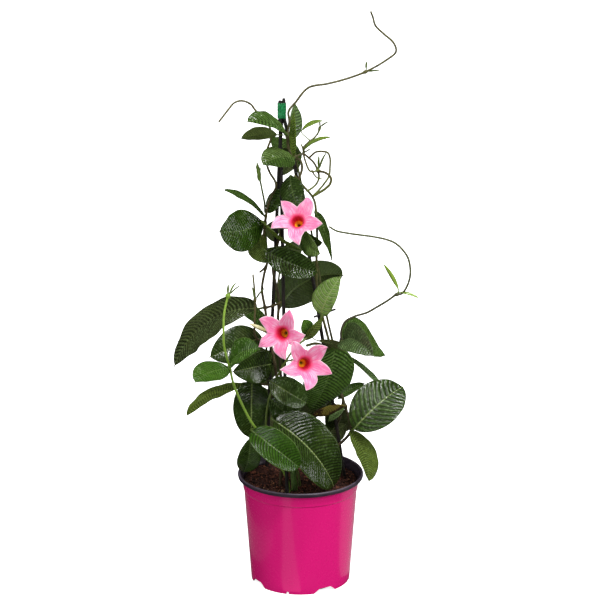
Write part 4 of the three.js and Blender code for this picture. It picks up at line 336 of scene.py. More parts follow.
def tube(piece, pts, radii, sides=10, mat=0, start="flat", end="round", rough=0.0, seed=0, tone=0.0, pc=(0, 0, 0), pd=(0, 0, 0), oval=None):
    """A closed round tube. oval squeezes it along its second side direction."""
    t, n, b = frames(pts)
    radii = np.broadcast_to(np.asarray(radii, float), (len(pts),)).copy()
    at = np.concatenate([[0], np.cumsum(np.linalg.norm(np.diff(pts, axis=0), axis=1))])
    centres, rr, share, tt, nn, bb = list(pts), list(radii), list(at), list(t), list(n), list(b)
    for side, kind in ((0, start), (1, end)):
        if kind != "round":
            continue
        k = -1 if side else 0
        sign = 1 if side else -1
        extra = [(0.55, 0.83), (0.9, 0.42)]
        for out, r in extra:
            c, rad, a = pts[k] + sign * t[k] * out * radii[k], radii[k] * r, at[k] + sign * out * radii[k]
            where = len(centres) if side else 0
            for lst, val in ((centres, c), (rr, rad), (share, a), (tt, t[k]), (nn, n[k]), (bb, b[k])):
                lst.insert(where, val)
    centres, rr, share, nn, bb = (np.array(x) for x in (centres, rr, share, nn, bb))
    ang = np.arange(sides) / sides * 2 * math.pi
    r = rr[:, None] * np.ones(sides)
    if rough:
        q = np.stack([np.cos(ang)[None] * 1.3 + 0 * share[:, None], np.sin(ang)[None] * 1.3 + 0 * share[:, None], share[:, None] / 3.2 + 0 * ang[None]], -1)
        r = r * (1 + rough * noise(q, seed) + rough * 0.6 * noise(q * [2, 2, 0.35], seed + 7))
    squeeze = 1.0 if oval is None else np.broadcast_to(oval, (len(centres),))[:, None, None]
    v = centres[:, None] + (np.cos(ang)[None, :, None] * nn[:, None] + np.sin(ang)[None, :, None] * bb[:, None] * squeeze) * r[..., None]
    N = len(centres)
    i, k = np.meshgrid(np.arange(N - 1), np.arange(sides), indexing="ij")
    k1 = (k + 1) % sides
    quads = np.stack([i * sides + k, i * sides + k1, (i + 1) * sides + k1, (i + 1) * sides + k], -1).reshape(-1, 4)
    verts = np.vstack([v.reshape(-1, 3), centres[0] - tt[0] * (0.05 * rr[0]), centres[-1] + tt[-1] * (0.05 * rr[-1])])
    a, z = N * sides, N * sides + 1
    ks = np.arange(sides)
    caps = np.vstack([np.stack([ks * 0 + a, (ks + 1) % sides, ks], -1), np.stack([ks * 0 + z, (N - 1) * sides + ks, (N - 1) * sides + (ks + 1) % sides], -1)])
    length = max(at[-1], 1e-6)
    pa = np.zeros((len(verts), 3))
    pa[: N * sides, 0] = np.repeat(share, sides)
    pa[: N * sides, 1] = np.tile(ang / (2 * math.pi), N)
    pa[: N * sides, 2] = np.repeat(share, sides) / length
    pa[a] = (share[0], 0, share[0] / length)
    pa[z] = (share[-1], 0, share[-1] / length)
    piece.add(verts, [quads, caps], mat, pa=pa, pb=(tone, float(np.mean(radii)), 0), pc=pc, pd=pd)


# ---------------------------------------------------------------- leaves
def leaf_frame(th, ph, ro):
    th, ph, ro = th * RAD, ph * RAD, ro * RAD
    t = np.array([math.cos(ph) * math.cos(th), math.cos(ph) * math.sin(th), math.sin(ph)])
    n = turn(np.array([-math.sin(ph) * math.cos(th), -math.sin(ph) * math.sin(th), math.cos(ph)]), t, ro)
    return t, n, np.cross(t, n)


def midrib(row, steps=20):
    x, y, z, th, ph, ro, length, _, be, _, sw, tw = row[:12]
    t, n, s = leaf_frame(th, ph, ro)
    p = np.array([x, y, z], float)
    out = [(p.copy(), t, n, s)]
    for _ in range(steps):
        t, n = turn(t, s, -be * RAD / steps), turn(n, s, -be * RAD / steps)
        t, s = turn(t, n, sw * RAD / steps), turn(s, n, sw * RAD / steps)
        s, n = turn(s, t, tw * RAD / steps), turn(n, t, tw * RAD / steps)
        p = p + t * length / steps
        out.append((p.copy(), t, n, s))
    return [np.array(q) for q in zip(*out)]


def outline(u, a, blunt=0.0):
    """Half width as a share of the widest place. A blunt leaf stays wide and rounds off close to its tip."""
    x = np.clip(u / (0.94 + 0.05 * blunt), 0, 1)
    p = np.clip(np.sin(math.pi * x**a), 0, None) ** (0.72 - 0.22 * blunt)
    tail = 0.035 * np.clip((1 - u) / 0.05, 0, 1)
    return np.where(u > 0.5, np.maximum(p, tail), p)


def hermite(values, u):
    """Smooth values between evenly spaced stations."""
    n = len(values) - 1
    slope = np.gradient(values, axis=0)
    k = np.clip(u * n, 0, n - 1e-9)
    i = np.floor(k).astype(int)
    f = (k - i)[:, None]
    a, b, c, d = values[i], values[i + 1], slope[i], slope[i + 1]
    return a * (2 * f**3 - 3 * f**2 + 1) + c * (f**3 - 2 * f**2 + f) + b * (3 * f**2 - 2 * f**3) + d * (f**3 - f**2)


LOOKS = {
    'top_front_1': {'tint': (0.0216, 0.045, 0.0072), 'quilt': 1.3, 'vein': 0.15, 'half': 1.0, 'half_tint': (0.0525, 0.0875, 0.02), 'painted_glint': 0.9, 'spacing': 4.8},
    'top_front_2': {'tint': (0.03, 0.0625, 0.01), 'quilt': 1.4, 'vein': 0.15, 'painted_glint': 1.0, 'spacing': 5.2},
    'top_front_3': {'tint': (0.012, 0.025, 0.004), 'painted_glint': 0.65, 'spacing': 3.6},
    'top_front_4': {'tint': (0.0294, 0.063, 0.0074), 'painted_glint': 0.9, 'spacing': 3.4},
    'top_left_1': {'tint': (0.115, 0.175, 0.034), 'under': 0.3},
    'top_left_2': {'tint': (0.0264, 0.055, 0.0088)},
    'top_back_1': {'tint': (0.051, 0.085, 0.0289), 'painted_glint': 1.2, 'spacing': 4.2, 'under': 0.3},
    'upper_left_1': {'tint': (0.012, 0.034, 0.002), 'quilt': 1.2, 'vein': 0.05, 'painted_glint': 0.55, 'spacing': 4.6, 'rough': 0.13},
    'upper_left_2': {'tint': (0.036, 0.0528, 0.008)},
    'upper_front_1': {'tint': (0.014, 0.029, 0.004), 'quilt': 1.2, 'vein': 0.06, 'painted_glint': 0.4, 'spacing': 4.0},
    'upper_front_2': {'tint': (0.1125, 0.165, 0.025)},
    'upper_front_3': {'tint': (0.0288, 0.06, 0.0096), 'end_tint': (0.084, 0.14, 0.032)},
    'upper_front_4': {'tint': (0.0238, 0.051, 0.0059)},
    'upper_right_1': {'tint': (0.0168, 0.036, 0.0042)},
    'middle_left_1': {'tint': (0.0248, 0.0651, 0.0062), 'edge': 0.8, 'painted_glint': 1.5, 'quilt': 1.3, 'spacing': 3.6},
    'middle_left_2': {'tint': (0.0288, 0.0756, 0.0072), 'edge': 0.9, 'painted_glint': 1.7, 'quilt': 1.3, 'spacing': 3.6, 'rough': 0.13},
    'middle_left_3': {'tint': (0.0144, 0.03, 0.0048), 'rib': 0.35, 'painted_glint': 0.6},
    'middle_left_4': {'tint': (0.0126, 0.027, 0.0032), 'rib': 0.35},
    'middle_left_5': {'tint': (0.026, 0.034, 0.012), 'quilt': 1.5, 'vein': 0.1, 'painted_glint': 0.5, 'spacing': 4.8, 'rib': 0.2},
    'middle_right_1': {'tint': (0.0372, 0.062, 0.0211), 'vein': 0.2, 'painted_glint': 0.9, 'spacing': 3.8},
    'middle_right_2': {'tint': (0.1029, 0.1715, 0.0392), 'vein': 1.05, 'rib': 1.4, 'painted_glint': 0.2, 'spacing': 5.4, 'quilt': 0.45},
    'middle_right_3': {'tint': (0.0288, 0.06, 0.0096)},
    'middle_back_1': {'tint': (0.0144, 0.03, 0.0048), 'under': 0.1, 'painted_glint': 0.2},
    'low_front_1': {'tint': (0.015, 0.043, 0.003), 'rib': 0.2, 'edge': 0.9, 'blunt': 0.9, 'painted_glint': 0.25, 'spacing': 4.0, 'rough': 0.13},
    'low_front_2': {'tint': (0.018, 0.0375, 0.006), 'painted_glint': 0.7, 'vein': 0.3, 'rib': 0.3},
    'low_front_3': {'tint': (0.0096, 0.0228, 0.0024), 'painted_glint': 0.6},
    'low_front_4': {'tint': (0.0101, 0.0216, 0.0025), 'quilt': 1.1, 'vein': 0.1, 'rib': 0.95, 'blunt': 0.9, 'painted_glint': 0.4, 'spacing': 4.5},
    'low_left_1': {'tint': (0.0088, 0.0209, 0.0022), 'rib': 0.6},
    'low_left_2': {'tint': (0.0168, 0.036, 0.0042)},
    'low_left_3': {'tint': (0.063, 0.0924, 0.014)},
    'low_right_1': {'tint': (0.036, 0.075, 0.012), 'painted_glint': 0.9, 'spacing': 4.6},
    'low_right_3': {'tint': (0.0168, 0.035, 0.0056), 'vein': 0.2, 'rib': 0.7, 'spacing': 6.6, 'painted_glint': 0.5},
    'low_right_4': {'tint': (0.0495, 0.0726, 0.011)},
    'low_right_5': {'tint': (0.075, 0.125, 0.0425), 'painted_glint': 0.9},
    'L19': {'tint': (0.04, 0.105, 0.01)},
    'L20': {'tint': (0.063, 0.0924, 0.014)},
    'L21': {'tint': (0.0405, 0.0594, 0.009)},
    'L3b': {'tint': (0.12, 0.186, 0.0252), 'painted_glint': 0.3},
    'L4': {'tint': (0.12, 0.186, 0.0252)},
    'L5': {'tint': (0.11, 0.1705, 0.0231)},
    'Y10': {'tint': (0.11, 0.1705, 0.0231)},
    'Y11': {'tint': (0.12, 0.186, 0.0252)},
    'Y12': {'tint': (0.12, 0.186, 0.0252)},
    'Y13': {'tint': (0.14, 0.217, 0.0294)},
    'L28': {'tint': (0.078, 0.13, 0.0442)},
    'L45': {'tint': (0.027, 0.0396, 0.006)},
    'L27': {'tint': (0.0312, 0.065, 0.0104)},
    'Y8': {'tint': (0.1, 0.155, 0.021)},
    'Y9': {'tint': (0.08, 0.124, 0.0168)},
    'Y3': {'tint': (0.14, 0.217, 0.0294)},
    'Y4': {'tint': (0.14, 0.217, 0.0294)},
    'Y1': {'tint': (0.27, 0.42, 0.045), 'under': 0.1},
    'Y2': {'tint': (0.19, 0.3, 0.035), 'under': 0.1},
    'Y5': {'tint': (0.2, 0.31, 0.042)},
    'Y6': {'tint': (0.18, 0.279, 0.0378)},
    'Y7': {'tint': (0.18, 0.279, 0.0378)},
    'BL1': {'tint': (0.0216, 0.045, 0.0072)},
    'BL2': {'tint': (0.0264, 0.055, 0.0088)},
    'BL3': {'tint': (0.0192, 0.04, 0.0064)},
    'BL4': {'tint': (0.0288, 0.06, 0.0096)},
    'BL5': {'tint': (0.024, 0.05, 0.008)},
    'BL6': {'tint': (0.0312, 0.065, 0.0104)},
    'BL7': {'tint': (0.0216, 0.045, 0.0072)},
    'BR1': {'tint': (0.0216, 0.045, 0.0072)},
    'BR2': {'tint': (0.0264, 0.055, 0.0088)},
    'BR3': {'tint': (0.0192, 0.04, 0.0064)},
    'BR4': {'tint': (0.0288, 0.06, 0.0096)},
    'BR5': {'tint': (0.024, 0.05, 0.008)},
    'BR6': {'tint': (0.0312, 0.065, 0.0104)},
    'BR7': {'tint': (0.0216, 0.045, 0.0072)},
}
DEFAULT_LOOK = dict(tint=(0.030, 0.062, 0.012), quilt=1.0, vein=0.10, rib=0.10, edge=0.45, painted_glint=0.5, wave=1.0, rough=0.15, half=0.0, under=1.0, blunt=0.25)


def leaf(piece, key, row, mats, fused=False, step=1.0, seed=0):
    """One leaf: a blade with sunken veins and pillows between them, and a petiole that runs on as a raised midrib below."""
    look = dict(DEFAULT_LOOK, **LOOKS.get(key, {}))
    _, _, _, _, _, _, length, width, _, fo, _, _, a, cup, ax, ay, az, rs = row
    ribs = midrib(row)
    small = length < 45
    half_w = width / 2
    nu = max(16, int(length / (0.72 * step)))
    nv = max(11, int(width / (1.25 * step)) | 1)
    u = np.linspace(0, 1, nu + 1)
    u = u + 0.045 * np.sin(2 * math.pi * u) / (2 * math.pi) * -1  # a little denser at both ends
    v = np.linspace(-1, 1, nv)
    v = np.sign(v) * (1 - (1 - np.abs(v)) ** 1.18)
    p, t, n, s = (hermite(np.asarray(q), u) for q in ribs)
    n, s = unit(n), unit(s)
    w = half_w * outline(u, a, look["blunt"])
    w = w * (1 + 0.012 * noise1(u * 9 + seed, seed) * smooth(0.03, 0.2, u) * (1 - smooth(0.85, 0.97, u)))
    w = np.where(u < 0.3, np.maximum(w, 0.8 if small else 1.2), w)
    U, Vv = np.meshgrid(u, v, indexing="ij")
    w2 = np.repeat(w[:, None], nv, 1)
    av = np.abs(Vv)
    soft = np.sqrt(av**2 + 0.0025) - 0.05
    P = p[:, None] + s[:, None] * (Vv * w2 * math.cos(fo * RAD))[..., None] + n[:, None] * (soft * w2 * math.sin(fo * RAD) - cup * av**2 * w2)[..., None]
    # the margin waves, more on one side than on the other
    rng = np.random.default_rng(seed)
    f1, f2 = rng.uniform(2.4, 3.8), rng.uniform(4.2, 6.0)
    ph1, ph2 = rng.uniform(0, 6.28, 2)
    side = np.where(Vv < 0, rng.uniform(0.6, 1.2), rng.uniform(0.6, 1.2))
    wave = np.sin(2 * math.pi * f1 * U + ph1 + 1.9 * (Vv < 0)) + 0.5 * np.sin(2 * math.pi * f2 * U + ph2 + 2.6 * (Vv < 0))
    P = P + n[:, None] * (look["wave"] * 0.020 * half_w * av**2.2 * side * wave * smooth(0.05, 0.25, U) * (1 - smooth(0.86, 0.99, U)))[..., None]
    du, dv = np.gradient(P, axis=0), np.gradient(P, axis=1)
    N = unit(np.cross(du, dv))
    flip = np.sign(np.sum(N * n[:, None], -1, keepdims=True))
    N = N * np.where(flip == 0, 1, flip)
    N[0], N[-1] = N[1], N[-2]
    # veins: mm along the midrib and out from it
    x, y = U * length, Vv * w2
    ay_ = np.abs(y)
    spacing = look.get("spacing", 2.3 + 0.014 * length)
    lean = 0.36 * ay_ + 0.36 * ay_**2 / half_w
    wobble = 0.16 * noise(np.stack([x / 9, y / 7, y * 0 + seed], -1), seed)
    phase = (x - lean) / spacing + np.where(y < 0, 0.5, 0.0) + wobble + 40
    frac = phase - np.floor(phase)
    cell = np.floor(phase)
    pillow = np.sin(math.pi * frac) ** 1.35
    cell_tone = hashed(cell, cell * 0 + (y < 0), cell * 0 + 1.0, seed)
    # ladder veins join the side veins, shifted from cell to cell
    ladder = spacing * 0.78
    jitter = hashed(cell, cell * 0 + (y < 0), cell * 0 + 3.0, seed) * 3.0
    lp = ay_ / ladder + jitter + 0.22 * noise(np.stack([x / 2.4, y / 2.4, y * 0 + 1.5], -1), seed + 3)
    rung = np.abs(np.sin(math.pi * lp)) ** 0.7
    bumps = noise(np.stack([x / 1.7, y / 1.7, y * 0 + seed], -1), seed + 11)
    fade = (1 - smooth(0.86, 1.0, av)) * smooth(0.02, 0.09, U) * (1 - smooth(0.90, 0.985, U)) * smooth(1.5, 6.0, w2)
    amp = look["quilt"] * (0.20 + 0.155 * spacing) * (0.75 + 0.5 * cell_tone)
    form = fade * ((pillow - 0.5) * 0.95 + 0.42 * (rung - 0.62) * pillow + 0.14 * bumps)
    h = amp * form
    # painted glints: pale dashes along the crests, in patches, stand in for highlights
    patch = noise(np.stack([x / 15, y / 11, y * 0 + seed], -1), seed + 17)
    broken = noise(np.stack([x / 1.3, y / 2.6, y * 0 + seed], -1), seed + 23)
    painted_glint = look["painted_glint"] * fade * smooth(0.25, 0.50, form) * smooth(-0.15, 0.40, broken) * smooth(-0.55, 0.20, patch)
    rib_w = (0.55 + 0.006 * length) * (1 - 0.6 * U)
    h = h - 0.55 * look["quilt"] * (0.35 + 0.004 * length) * np.exp(-((ay_ / rib_w) ** 2)) * (1 - smooth(0.8, 0.97, U))
    thick = (0.34 if small else 0.46) * (1 - 0.35 * U) * np.sqrt(np.clip(1 - av**12, 0, 1))
    top = P + N * (h + thick / 2)[..., None]
    low = P + N * (h * 0.9 - thick / 2)[..., None]
    tip_point = P[-1, nv // 2]
    rows = nu  # the last row is one point
    T, B = top[:rows], low[:rows, 1:-1]
    ni = nv - 2
    verts = np.vstack([T.reshape(-1, 3), B.reshape(-1, 3), tip_point[None]])
    base_b = rows * nv
    tip = base_b + rows * ni
    ti = np.arange(rows)[:, None] * nv + np.arange(nv)[None]
    bi = np.concatenate([ti[:, :1], base_b + np.arange(rows)[:, None] * ni + np.arange(ni)[None], ti[:, -1:]], 1)
    orient = 1 if np.dot(np.cross(top[2, nv // 2 + 1] - top[2, nv // 2], top[3, nv // 2] - top[2, nv // 2]), N[2, nv // 2]) > 0 else -1

    def quad(g, sign):
        q = np.stack([g[:-1, :-1], g[:-1, 1:], g[1:, 1:], g[1:, :-1]], -1).reshape(-1, 4)
        return q if sign > 0 else q[:, ::-1]

    qt, qb = quad(ti, orient), quad(bi, -orient)
    fan_t = np.stack([ti[-1, :-1], ti[-1, 1:], np.full(nv - 1, tip)], -1)
    fan_b = np.stack([bi[-1, 1:], bi[-1, :-1], np.full(nv - 1, tip)], -1)
    heel = np.stack([ti[0, 1:-2], bi[0, 1:-2], bi[0, 2:-1], ti[0, 2:-1]], -1)
    ends = np.array([[ti[0, 0], bi[0, 1], ti[0, 1]], [ti[0, -1], ti[0, -2], bi[0, -2]]])
    if orient < 0:
        fan_t, fan_b, heel, ends = fan_t[:, ::-1], fan_b[:, ::-1], heel[:, ::-1], ends[:, ::-1]

    def both(q):
        return np.vstack([q[:rows].reshape(-1, q.shape[-1]), q[:rows, 1:-1].reshape(-1, q.shape[-1]), q[-1, nv // 2][None]])

    pa = both(np.stack([phase, y, U], -1))
    pb = both(np.stack([av, np.full_like(av, spacing), np.full_like(av, look["vein"])], -1))
    tint = np.array(look["tint"])[None, None] * np.ones((*U.shape, 1))
    if look["half"]:
        mixf = smooth(-0.12, 0.12, Vv * np.sign(look["half"]))[..., None] * abs(look["half"])
        tint = tint * (1 - mixf) + np.array(look["half_tint"])[None, None] * mixf
    if "end_tint" in look:
        mixf = smooth(look.get("end_at", 0.35), look.get("end_at", 0.35) + 0.35, U)[..., None]
        tint = tint * (1 - mixf) + np.array(look["end_tint"])[None, None] * mixf
    pc = both(tint)
    pd = both(np.stack([np.full_like(av, look["rough"]), np.full_like(av, look["under"]), form], -1))
    pe = both(np.stack([np.full_like(av, look["rib"]), np.full_like(av, look["edge"]), painted_glint], -1))
    mat = np.concatenate([np.full(len(qt), mats[0]), np.full(len(qb), mats[1]), np.full(len(fan_t), mats[0]), np.full(len(fan_b) + len(heel) + len(ends), mats[1])])
    # faces of one size go together
    quads = [qt, qb, heel]
    tris = [fan_t, fan_b, ends]
    mq = np.concatenate([np.full(len(qt), mats[0]), np.full(len(qb) + len(heel), mats[1])])
    mt = np.concatenate([np.full(len(fan_t), mats[0]), np.full(len(fan_b) + len(ends), mats[1])])
    piece.add(verts, [np.vstack(quads), np.vstack(tris)], np.concatenate([mq, mt]), pa=pa, pb=pb, pc=pc, pd=pd, pe=pe)

    # petiole and midrib
    rp = 0.62 if small else 0.95 + 0.0022 * length
    foot = np.array([ax, ay, az], float)
    way = ribs[0][0] - foot
    far = np.linalg.norm(way)
    pts, rad = [], []
    if far > 0.8:
        d = way / far
        reach = far * 0.35
        c = [foot, foot + d * reach, ribs[0][0] - ribs[1][0] * reach, ribs[0][0]]
        m = max(3, int(far / 1.6))
        for q in np.arange(m) / m:
            pts.append(c[0] * (1 - q) ** 3 + 3 * c[1] * q * (1 - q) ** 2 + 3 * c[2] * q * q * (1 - q) + c[3] * q**3)
            rad.append(rp * (1.35 - 0.35 * smooth(0, 0.25, q)) * (1 + 0.22 * smooth(0.85, 1.0, q)))
    uu = np.linspace(0.0, 0.93, max(6, int(length / 2.2)))
    pm, _, nm, _ = (hermite(np.asarray(q), uu) for q in ribs)
    rm = rp * (1.15 - 0.85 * uu**0.8)
    drop = smooth(0, 0.07, uu) * (rm * 0.72 + 0.16) + (1 - smooth(0, 0.07, uu)) * 0.1
    if "quilt" in look:
        drop = drop + 0.3 * look["quilt"] * (0.35 + 0.004 * length) * smooth(0, 0.07, uu)
    pts = np.vstack([np.array(pts).reshape(-1, 3), pm - unit(nm) * drop[:, None]])
    rad = np.concatenate([rad, rm])
    tube(piece, pts, rad, 8 if small else 10, mats[2], start="round", end="round", seed=seed, tone=0.0, pc=look.get("petiole", tuple(0.5 * q + 0.5 * r for q, r in zip(look["tint"], (0.11, 0.16, 0.035)))), pd=(0.4, 0, 0))


# ---------------------------------------------------------------- materials
class Mat:
    """A small helper around a node tree that ends in one Principled shader."""

    def __init__(self, name, **constants):
        self.m = bpy.data.materials.new(name)
        self.m.use_nodes = True
        self.t = self.m.node_tree
        self.t.nodes.clear()
        self.out = self.t.nodes.new("ShaderNodeOutputMaterial")
        self.b = self.t.nodes.new("ShaderNodeBsdfPrincipled")
        self.t.links.new(self.b.outputs[0], self.out.inputs[0])
        for k, v in constants.items():
            self.b.inputs[k.replace("_", " ")].default_value = v
        self._a = {}
        self._c = None

    def put(self, socket, value):
        if isinstance(value, bpy.types.NodeSocket):
            self.t.links.new(value, socket)
        elif value is not None:
            socket.default_value = value

    def node(self, kind, **props):
        n = self.t.nodes.new(kind)
        for k, v in props.items():
            setattr(n, k, v)
        return n

    def math(self, op, a, b=None, c=None):
        n = self.node("ShaderNodeMath", operation=op)
        for i, v in enumerate((a, b, c)):
            if v is not None:
                self.put(n.inputs[i], v)
        return n.outputs[0]

    def mul(self, a, b):
        return self.math("MULTIPLY", a, b)

    def add(self, a, b):
        return self.math("ADD", a, b)

    def step(self, x, lo, hi, a=0.0, b=1.0):
        """Smooth change from a to b as x goes from lo to hi."""
        n = self.node("ShaderNodeMapRange", interpolation_type="SMOOTHSTEP")
        for k, v in (("Value", x), ("From Min", lo), ("From Max", hi), ("To Min", a), ("To Max", b)):
            self.put(n.inputs[k], v)
        return n.outputs[0]

    def mix(self, f, a, b, kind="MIX"):
        n = self.node("ShaderNodeMix", data_type="RGBA", blend_type=kind)
        n.clamp_factor = True
        self.put(n.inputs[0], f)
        for s, v in ((n.inputs[6], a), (n.inputs[7], b)):
            self.put(s, (*v, 1) if isinstance(v, tuple) and len(v) == 3 else v)
        return n.outputs[2]

    def scale(self, colour, f):
        """colour times a number or a socket."""
        n = self.node("ShaderNodeVectorMath", operation="SCALE")
        self.put(n.inputs[0], colour)
        self.put(n.inputs["Scale"], f)
        return n.outputs[0]

    def attr(self, name):
        if name not in self._a:
            n = self.node("ShaderNodeAttribute", attribute_name=name, attribute_type="GEOMETRY")
            s = self.node("ShaderNodeSeparateXYZ")
            self.t.links.new(n.outputs["Vector"], s.inputs[0])
            self._a[name] = (s.outputs[0], s.outputs[1], s.outputs[2], n.outputs["Vector"])
        return self._a[name]

    def place(self):
        if self._c is None:
            self._c = self.node("ShaderNodeTexCoord").outputs["Object"]
        return self._c

    def noise(self, scale, detail=2.0, rough=0.5, vector=None, distortion=0.0):
        n = self.node("ShaderNodeTexNoise")
        self.put(n.inputs["Vector"], vector or self.place())
        for k, v in (("Scale", scale), ("Detail", detail), ("Roughness", rough), ("Distortion", distortion)):
            n.inputs[k].default_value = v
        return n.outputs["Fac"]

    def cells(self, scale, feature="DISTANCE_TO_EDGE", vector=None):
        n = self.node("ShaderNodeTexVoronoi", feature=feature)
        self.put(n.inputs["Vector"], vector or self.place())
        n.inputs["Scale"].default_value = scale
        return n.outputs[0]

    def stretched(self, sx, sy, sz):
        n = self.node("ShaderNodeMapping")
        self.put(n.inputs["Vector"], self.place())
        n.inputs["Scale"].default_value = (sx, sy, sz)
        return n.outputs[0]

    def xyz(self, x, y, z):
        n = self.node("ShaderNodeCombineXYZ")
        for i, v in enumerate((x, y, z)):
            self.put(n.inputs[i], v)
        return n.outputs[0]

    def ramp(self, f, stops):
        n = self.node("ShaderNodeValToRGB")
        self.put(n.inputs[0], f)
        e = n.color_ramp.elements
        while len(e) < len(stops):
            e.new(0.5)
        for el, (at, c) in zip(e, stops):
            el.position = at
            el.color = (*c, 1)
        return n.outputs[0]

    def bump(self, height, strength, distance, after=None):
        n = self.node("ShaderNodeBump")
        n.inputs["Strength"].default_value = strength
        n.inputs["Distance"].default_value = distance
        self.put(n.inputs["Height"], height)
        if after is not None:
            self.put(n.inputs["Normal"], after)
        return n.outputs[0]

    def finish(self, colour, rough, normal=None):
        self.put(self.b.inputs["Base Color"], (*colour, 1) if isinstance(colour, tuple) else colour)
        self.put(self.b.inputs["Roughness"], rough)
        if normal is not None:
            self.put(self.b.inputs["Normal"], normal)
        return self.m


def leaf_material(name, under=False, young=False):
    m = Mat(name, IOR=1.5, Specular_IOR_Level=0.45 if not under else 0.25)
    phase, y, u, _ = m.attr("pa")
    av, spacing, vein, _ = m.attr("pb")
    _, _, _, tint = m.attr("pc")
    gloss, pale, height, _ = m.attr("pd")
    rib_light, edge_light, painted_glint, _ = m.attr("pe")
    frac = m.math("FRACT", phase)
    dist = m.mul(m.math("SUBTRACT", 0.5, m.math("ABSOLUTE", m.math("SUBTRACT", frac, 0.5))), spacing)
    side_vein = m.step(dist, 0.16 if not under else 0.22, m.step(vein, 0.4, 1.6, 0.75, 1.7) if not under else 0.8, 1.0, 0.0)
    side_vein = m.mul(side_vein, m.step(av, 0.80, 0.97, 1.0, 0.0))
    rib = m.step(m.math("ABSOLUTE", y), m.step(u, 0.2, 1.0, 0.62, 0.25), m.step(u, 0.2, 1.0, 1.15, 0.5), 1.0, 0.0)
    net = m.step(m.cells(430 if not young else 600), 0.02, 0.10, 1.0, 0.0)
    net2 = m.step(m.cells(1150), 0.02, 0.12, 1.0, 0.0)
    mottle = m.noise(85, 3, 0.6)
    fine = m.noise(900, 2, 0.6)
    base = m.scale(tint, m.step(mottle, 0.25, 0.75, 0.78, 1.26))
    base = m.mix(m.mul(m.step(m.noise(28, 2, 0.5), 0.45, 0.75), 0.35), base, m.mix(0.5, base, (0.055, 0.085, 0.012)))
    if under:
        base = m.mix(m.mul(pale, 0.55), base, (0.135, 0.165, 0.065))
        light = m.mix(0.55, base, (0.30, 0.36, 0.13))
    else:
        light = m.mix(0.5, m.scale(base, 2.1), (0.17, 0.24, 0.075))
    # painted shade deeper in the folds, painted light on the pillows
    painted_light_and_shade = m.step(height, -0.40, 0.44, 0.22 if not under else 0.45, 1.75 if not under else 1.4)
    base = m.scale(base, painted_light_and_shade)
    if not under:
        # painted glints: pale dashes on the crests stand in for highlights
        base = m.mix(m.mul(painted_glint, 0.80), base, (0.170, 0.265, 0.095))
    base = m.mix(m.mul(net, 0.08), base, light)
    base = m.mix(m.mul(net2, 0.05), base, light)
    base = m.mix(m.mul(side_vein, vein), base, m.mix(m.step(vein, 0.5, 1.6, 0.0, 0.75), light, (0.40, 0.50, 0.22)))
    base = m.mix(m.mul(rib, rib_light), base, m.mix(0.6, light, (0.34, 0.42, 0.15)))
    base = m.mix(m.mul(m.step(av, 0.94, 0.99, 0.0, 1.0), edge_light), base, light)
    r = m.add(gloss, m.mul(m.math("SUBTRACT", fine, 0.5), 0.10))
    r = m.add(r, m.mul(m.math("SUBTRACT", mottle, 0.5), 0.10))
    if under:
        r = m.add(r, 0.2)
    relief = m.add(m.mul(net, -0.55), m.add(m.mul(net2, -0.25), m.mul(fine, 0.35)))
    if under:
        relief = m.mul(relief, -1.0)
    normal = m.bump(relief, 0.16 if not under else 0.4, 0.0003)
    return m.finish(base, r, normal)


def stem_material(name, bark=0.5, ridges=0.25, rough=0.5):
    m = Mat(name, IOR=1.45, Specular_IOR_Level=0.35)
    s, ang, share, _ = m.attr("pa")
    _, _, _, tint = m.attr("pc")
    vec = m.xyz(m.mul(m.math("SINE", m.mul(ang, 6.2832)), 1.2), m.mul(m.math("COSINE", m.mul(ang, 6.2832)), 1.2), m.mul(s, 0.10))
    streak = m.noise(2.6, 4, 0.65, vec)
    spots = m.noise(520, 2, 0.5)
    blotch = m.noise(120, 3, 0.6)
    base = m.scale(tint, m.step(streak, 0.3, 0.7, 0.62, 1.38))
    base = m.mix(m.mul(m.step(blotch, 0.46, 0.66), bark), base, m.scale(base, 0.45))
    base = m.mix(m.mul(m.step(spots, 0.60, 0.74), bark * 0.9), base, (0.23, 0.19, 0.10))
    normal = m.bump(m.add(m.mul(streak, 0.8), m.mul(spots, 0.3)), ridges, 0.0005)
    return m.finish(base, m.add(rough, m.mul(m.math("SUBTRACT", spots, 0.5), 0.2)), normal)


